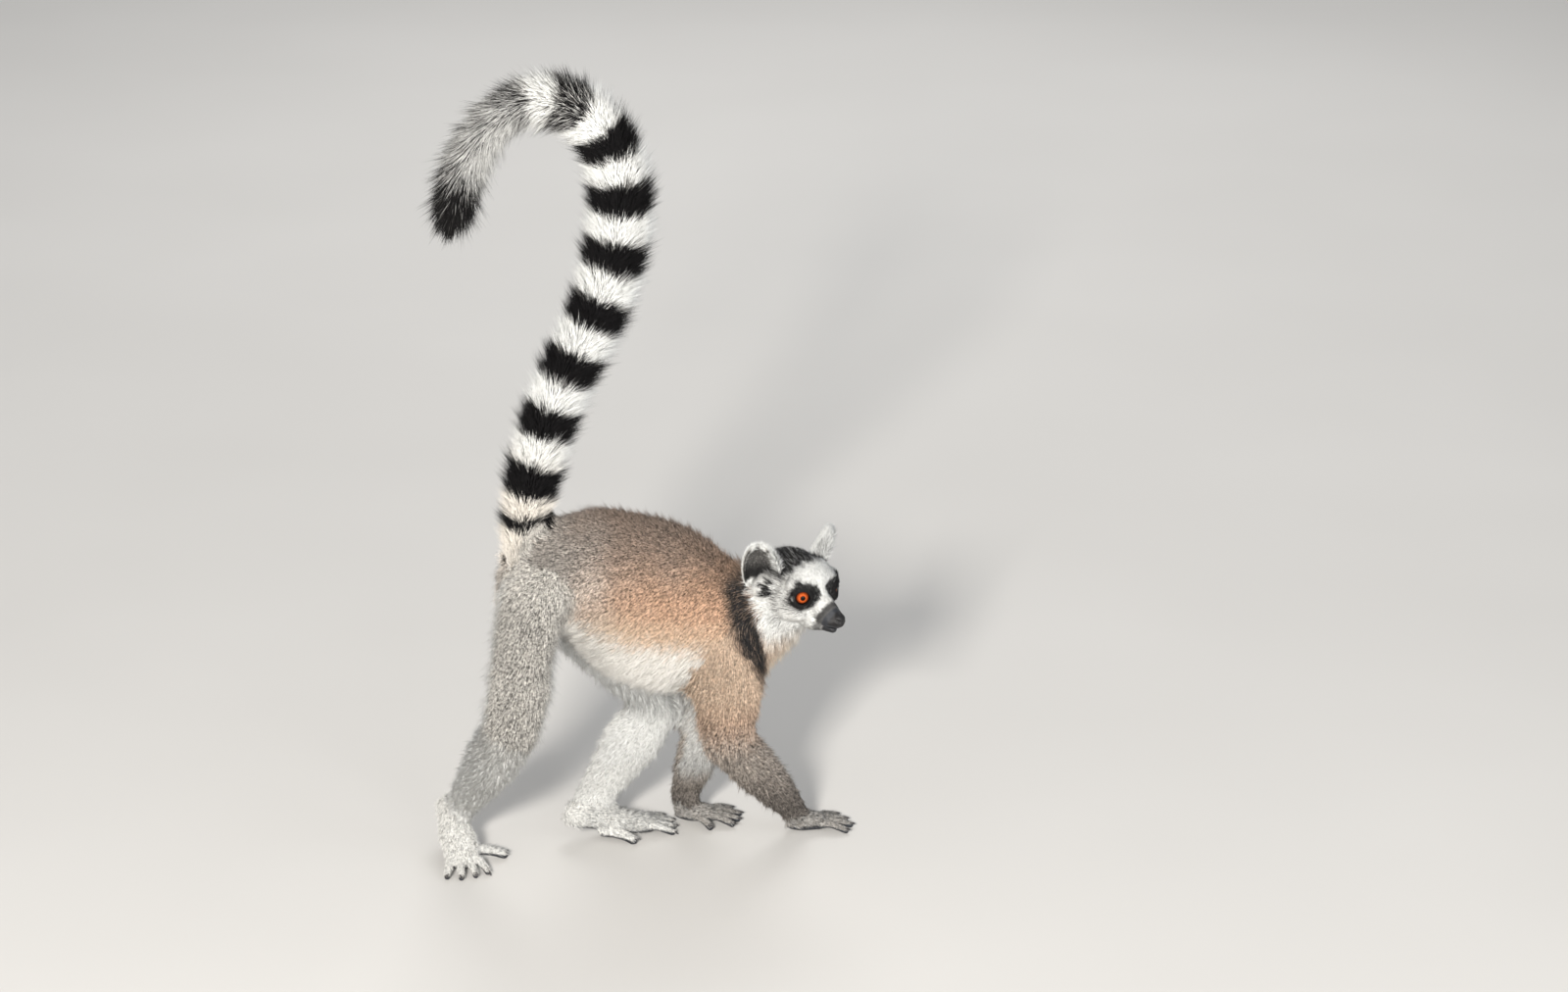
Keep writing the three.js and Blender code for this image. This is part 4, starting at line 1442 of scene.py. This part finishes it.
def skin_material():
    """Short hair over the skin, and bare leather on the nose, the lids, the palms and the soles."""
    material, tree, shader = new_material("Skin", Specular_IOR_Level=0.35)
    place = object_place(tree)
    tone = scaled(tree, noise(tree, place, 700.0, 3.0), 0.3, 0.7, 0.0, 1.0)
    # Hair on the skin takes the colour found 0.35 of the way along a tuft, so darker, as at the coat's
    # roots: partly the hair's own dark base, partly painted shade deep in the coat.
    hair = marked_colour(tree, 0.35, tone, 0.4)
    patches = scaled(tree, noise(tree, place, 160.0, 3.0), 0.35, 0.65, 0.55, 1.0)
    leather = blend_colours(tree, patches, BLACK, SLATE)
    leather = blend_colours(tree, attribute(tree, "black"), leather, BLACK)
    bare = attribute(tree, "bare")
    tree.links.new(blend_colours(tree, bare, hair, leather), shader.inputs["Base Color"])
    tree.links.new(scaled(tree, bare, 0.0, 1.0, 0.85, 0.38), shader.inputs["Roughness"])
    relief = add_node(tree, "ShaderNodeGroup", {"Leather": bare, "Strength": 0.35}, node_tree=SKIN_RELIEF)
    tree.links.new(relief.outputs["Normal"], shader.inputs["Normal"])
    return material


def eye_material():
    """An orange iris with fine spokes and a dark rim round a black pupil, under a wet surface."""
    material, tree, shader = new_material(
        "Eye",
        Roughness=0.5,
        Specular_IOR_Level=0.0,
        Coat_Weight=1.0,
        Coat_Roughness=0.02,
        Coat_IOR=1.24,
    )
    ring, spoke = attribute(tree, "ring"), attribute(tree, "spoke")
    vector = add_node(tree, "ShaderNodeCombineXYZ", {"X": spoke, "Y": ring}).outputs[0]
    stretched = add_node(tree, "ShaderNodeMapping", {"Vector": vector, "Scale": (9.0, 0.5, 1.0)}).outputs[0]
    fibres = scaled(tree, noise(tree, stretched, 2.2, 4.0), 0.35, 0.7, 0.0, 1.0)
    tint = blend_colours(tree, fibres, IRIS_DEEP, IRIS_BRIGHT)
    rim = scaled(tree, ring, IRIS_RADIUS - 2.0, IRIS_RADIUS - 0.3, 0.0, 1.0)
    tint = blend_colours(tree, rim, tint, IRIS_RIM)
    pupil = scaled(tree, ring, PUPIL_RADIUS - 0.15, PUPIL_RADIUS + 0.25, 1.0, 0.0)
    tint = blend_colours(tree, pupil, tint, PUPIL_BLACK)
    outside = scaled(tree, ring, IRIS_RADIUS - 0.25, IRIS_RADIUS + 0.2, 0.0, 1.0)
    tint = blend_colours(tree, outside, tint, EYEBALL_BROWN)
    tree.links.new(tint, shader.inputs["Base Color"])
    return material


def nail_material():
    """Dark horn with paler streaks."""
    material, tree, shader = new_material("Nail", Roughness=0.3, Coat_Weight=0.3, Coat_Roughness=0.25)
    streaks = scaled(tree, noise(tree, object_place(tree), 900.0, 3.0), 0.35, 0.7, 0.0, 1.0)
    tree.links.new(blend_colours(tree, streaks, HORN, PALE_HORN), shader.inputs["Base Color"])
    return material


def floor_material():
    """A plain pale floor, very slightly clouded."""
    material, tree, shader = new_material("Floor", Roughness=0.85)
    cloud = noise(tree, object_place(tree), 2.0)
    tree.links.new(blend_colours(tree, cloud, FLOOR_GREY, FLOOR_PALE), shader.inputs["Base Color"])
    return material


EYE_MATERIAL = eye_material()
NAIL_MATERIAL = nail_material()
FURS = {
    "grey_fur": fur_material("Grey fur", 1.05, 0.8),
    "brown_fur": fur_material("Brown fur", 1.0, 0.8),
    "white_fur": fur_material("White fur", 0.5, 0.78),
    "tail_fur": fur_material("Tail fur", 0.5, 0.75, 0.1),
}


# ---------------------------------------------------------------- eyes and nails


def eye_piece(side):
    """An eyeball with a raised cornea, its pole along the line of sight."""
    mirror = np.array([1, 1 if side == "left" else -1, 1])
    gaze, across, high = GAZE * mirror, GAZE_SIDE * mirror, GAZE_UP * mirror
    centre = np.array([0, EYE_SPREAD, 0]) * mirror
    slices, around = 40, 56
    theta = np.linspace(0, np.pi, slices + 1)[:, None]
    phi = np.linspace(0, 2 * np.pi, around, endpoint=False)[None]
    cornea = np.cos(np.clip(theta / CORNEA_ANGLE, 0, 1) * np.pi / 2) ** 1.2
    radius = (EYE_BALL - EYE_CLEARANCE) + CORNEA_RISE * cornea
    spread = np.cos(phi)[..., None] * across + np.sin(phi)[..., None] * high
    way = np.cos(theta)[..., None] * gaze + np.sin(theta)[..., None] * spread
    q = centre + radius[..., None] * way
    points = np.vstack([q[0, :1], q[1:-1].reshape(-1, 3), q[-1, :1]])
    last = len(points) - 1
    faces = []
    for k in range(around):
        n = (k + 1) % around
        faces.append((0, 1 + k, 1 + n))
        for row in range(slices - 2):
            a, b = 1 + row * around + k, 1 + row * around + n
            faces += [(a, a + around, b + around), (a, b + around, b)]
        faces.append((last, last - around + n, last - around + k))
    faces = np.array(faces)
    if side == "right":  # the mirrored ball would be inside out
        faces = faces[:, ::-1]
    mesh = new_mesh(f"eyeball_{side}", from_head(points), faces)
    rel = points - centre
    ahead, u, v = rel @ gaze, rel @ across, rel @ high
    set_values(mesh, "ring", np.hypot(u, v) + BEHIND_THE_EYE * (ahead < 0))
    set_values(mesh, "spoke", np.arctan2(v, u))
    dress(mesh, EYE_MATERIAL)
    return placed(f"eyeball_{side}", mesh)


def nail_shape(base, way, up, length, width, hook):
    """A curved plate, thin and closed, that narrows to its tip and bends down by hook."""
    across = np.cross(up, way)
    rows, columns = 7, 5
    points = []
    for thickness in (0.0, NAIL_THICKNESS):
        for row in range(rows):
            v = row / (rows - 1)
            half = width / 2 * math.sqrt(max(1 - (v * 0.97) ** 2.6, 0.02))
            for column in range(columns):
                u = 2 * column / (columns - 1) - 1
                height = -0.42 * half * u * u - thickness - hook * v * v
                points.append(base + way * length * v + across * half * u + up * height)
    faces = []
    under = rows * columns

    def quad(a, b, c, d):
        faces.extend([(a, b, c), (a, c, d)])

    for row in range(rows - 1):
        for a in range(row * columns, (row + 1) * columns - 1):
            quad(a, a + columns, a + columns + 1, a + 1)
            quad(under + a, under + a + 1, under + a + columns + 1, under + a + columns)
    corners = [0, (rows - 1) * columns, rows * columns - 1, columns - 1, 0]
    rim = []
    for a, b, step in zip(corners, corners[1:], (columns, 1, -columns, -1)):
        rim += range(a, b, step)
    for a, b in zip(rim, rim[1:] + rim[:1]):
        quad(a, under + a, under + b, b)
    return np.array(points), np.array(faces)


def nails_piece(skin):
    """A nail on every digit, and the long grooming claw on each second toe."""
    tree = BVHTree.FromObject(skin, bpy.context.evaluated_depsgraph_get())
    points, faces, count = [], [], 0
    for node in FLESH:
        if kind(node) not in ("toe", "finger"):
            continue
        start, end = LIMB_LINES[node]
        way = unit((end - start) * np.array([1, 1, 0]))
        root = end - way * NAIL_SET_BACK
        hit = tree.ray_cast(Vector((root[0], root[1], 40 * MM)), Vector((0, 0, -1)))[0]
        if hit is None:
            continue
        claw = node.startswith("toe") and node.endswith("_2")
        length, width, hook = GROOMING_CLAW if claw else FLAT_NAIL
        up = unit(np.array([0, 0, 1.0]) + way * (0.5 if claw else 0.12))
        ahead = unit(way - up * (way @ up))
        base = np.array(hit) + np.array([0, 0, 0.25 * MM])
        p, f = nail_shape(base, ahead, up, length * MM, width * MM, hook * MM)
        p[:, 2] = np.maximum(p[:, 2], FLOOR_GAP)
        points.append(p)
        faces.append(f + count)
        count += len(p)
    mesh = new_mesh("nails", np.vstack(points), np.vstack(faces))
    dress(mesh, NAIL_MATERIAL)
    return placed("nails", mesh)


# ---------------------------------------------------------------- the whole animal

skin = one_skin()
skin.name = "skin"
fields = coat_fields(skin.data)
for mark in MASKS:
    set_values(skin.data, mark, fields["marks"][mark])
dress(skin.data, skin_material())
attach(skin, "root")
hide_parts(*FLESH)

plants = planted(skin.data, fields)
for name, (nodes, slot) in coat_pieces().items():
    piece = tuft_piece(name, nodes, plants, FURS[slot])
    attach(piece, "root")

for side in SIDES:
    eye = eye_piece(side)
    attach(eye, "root")
    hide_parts(f"eye_{side}")

nails = nails_piece(skin)
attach(nails, "root")

# ---------------------------------------------------------------- floor, light and camera

FLOOR_REACH = 12.0  # metres to each side


def floor():
    r = FLOOR_REACH
    corners = np.array([[-r, -r, 0], [r, -r, 0], [r, r, 0], [-r, r, 0]])
    mesh = new_mesh("floor", corners, np.array([[0, 1, 2, 3]]))
    mesh.materials.append(floor_material())
    placed("floor", mesh)


def lamp(name, place, aim, size, power, tint=(1, 1, 1)):
    """A square lamp at a place, turned towards another, in metres and watts."""
    light = bpy.data.lights.new(name, "AREA")
    light.energy, light.size, light.color = power, size, tint
    piece = placed(name, light)
    piece.location = place
    piece.rotation_euler = (Vector(place) - aim).to_track_quat("Z", "Y").to_euler()


def camera(aim, azimuth, elevation, distance, lens):
    """A camera that looks at a point from an azimuth and an elevation in degrees."""
    a, e = math.radians(azimuth), math.radians(elevation)
    back = Vector((math.sin(a) * math.cos(e), -math.cos(a) * math.cos(e), math.sin(e)))
    data = bpy.data.cameras.new("camera")
    data.lens, data.sensor_width = lens, 36
    piece = placed("camera", data)
    piece.location = aim + back * distance
    piece.rotation_euler = back.to_track_quat("Z", "Y").to_euler()
    bpy.context.scene.camera = piece


def studio(tint, strength):
    """Even light from all round."""
    world = bpy.data.worlds.new("studio")
    bpy.context.scene.world = world
    world.use_nodes = True
    background = world.node_tree.nodes["Background"]
    background.inputs["Color"].default_value = colour(tint)
    background.inputs["Strength"].default_value = strength


floor()
body_middle = (Vector(cad_box[0]) + Vector(cad_box[1])) / 2
camera(Vector((0.1491, 0.0659, 0.2903)), azimuth=-15, elevation=20, distance=4.2, lens=107.4)
lamp("key", (-1.7, -3.5, 1.9), body_middle, 0.55, 272, (1, 0.965, 0.915))
lamp("fill", (2.8, -2.2, 1.4), body_middle, 2.6, 24, (0.92, 0.96, 1))
lamp("back", (0.9, 2.8, 2.4), body_middle, 1.6, 45)
lamp("low", (0.3, -3.6, 0.3), body_middle, 1.4, 62)
studio((0.80, 0.82, 0.85), 0.42)
bpy.context.scene.view_settings.view_transform = "Standard"
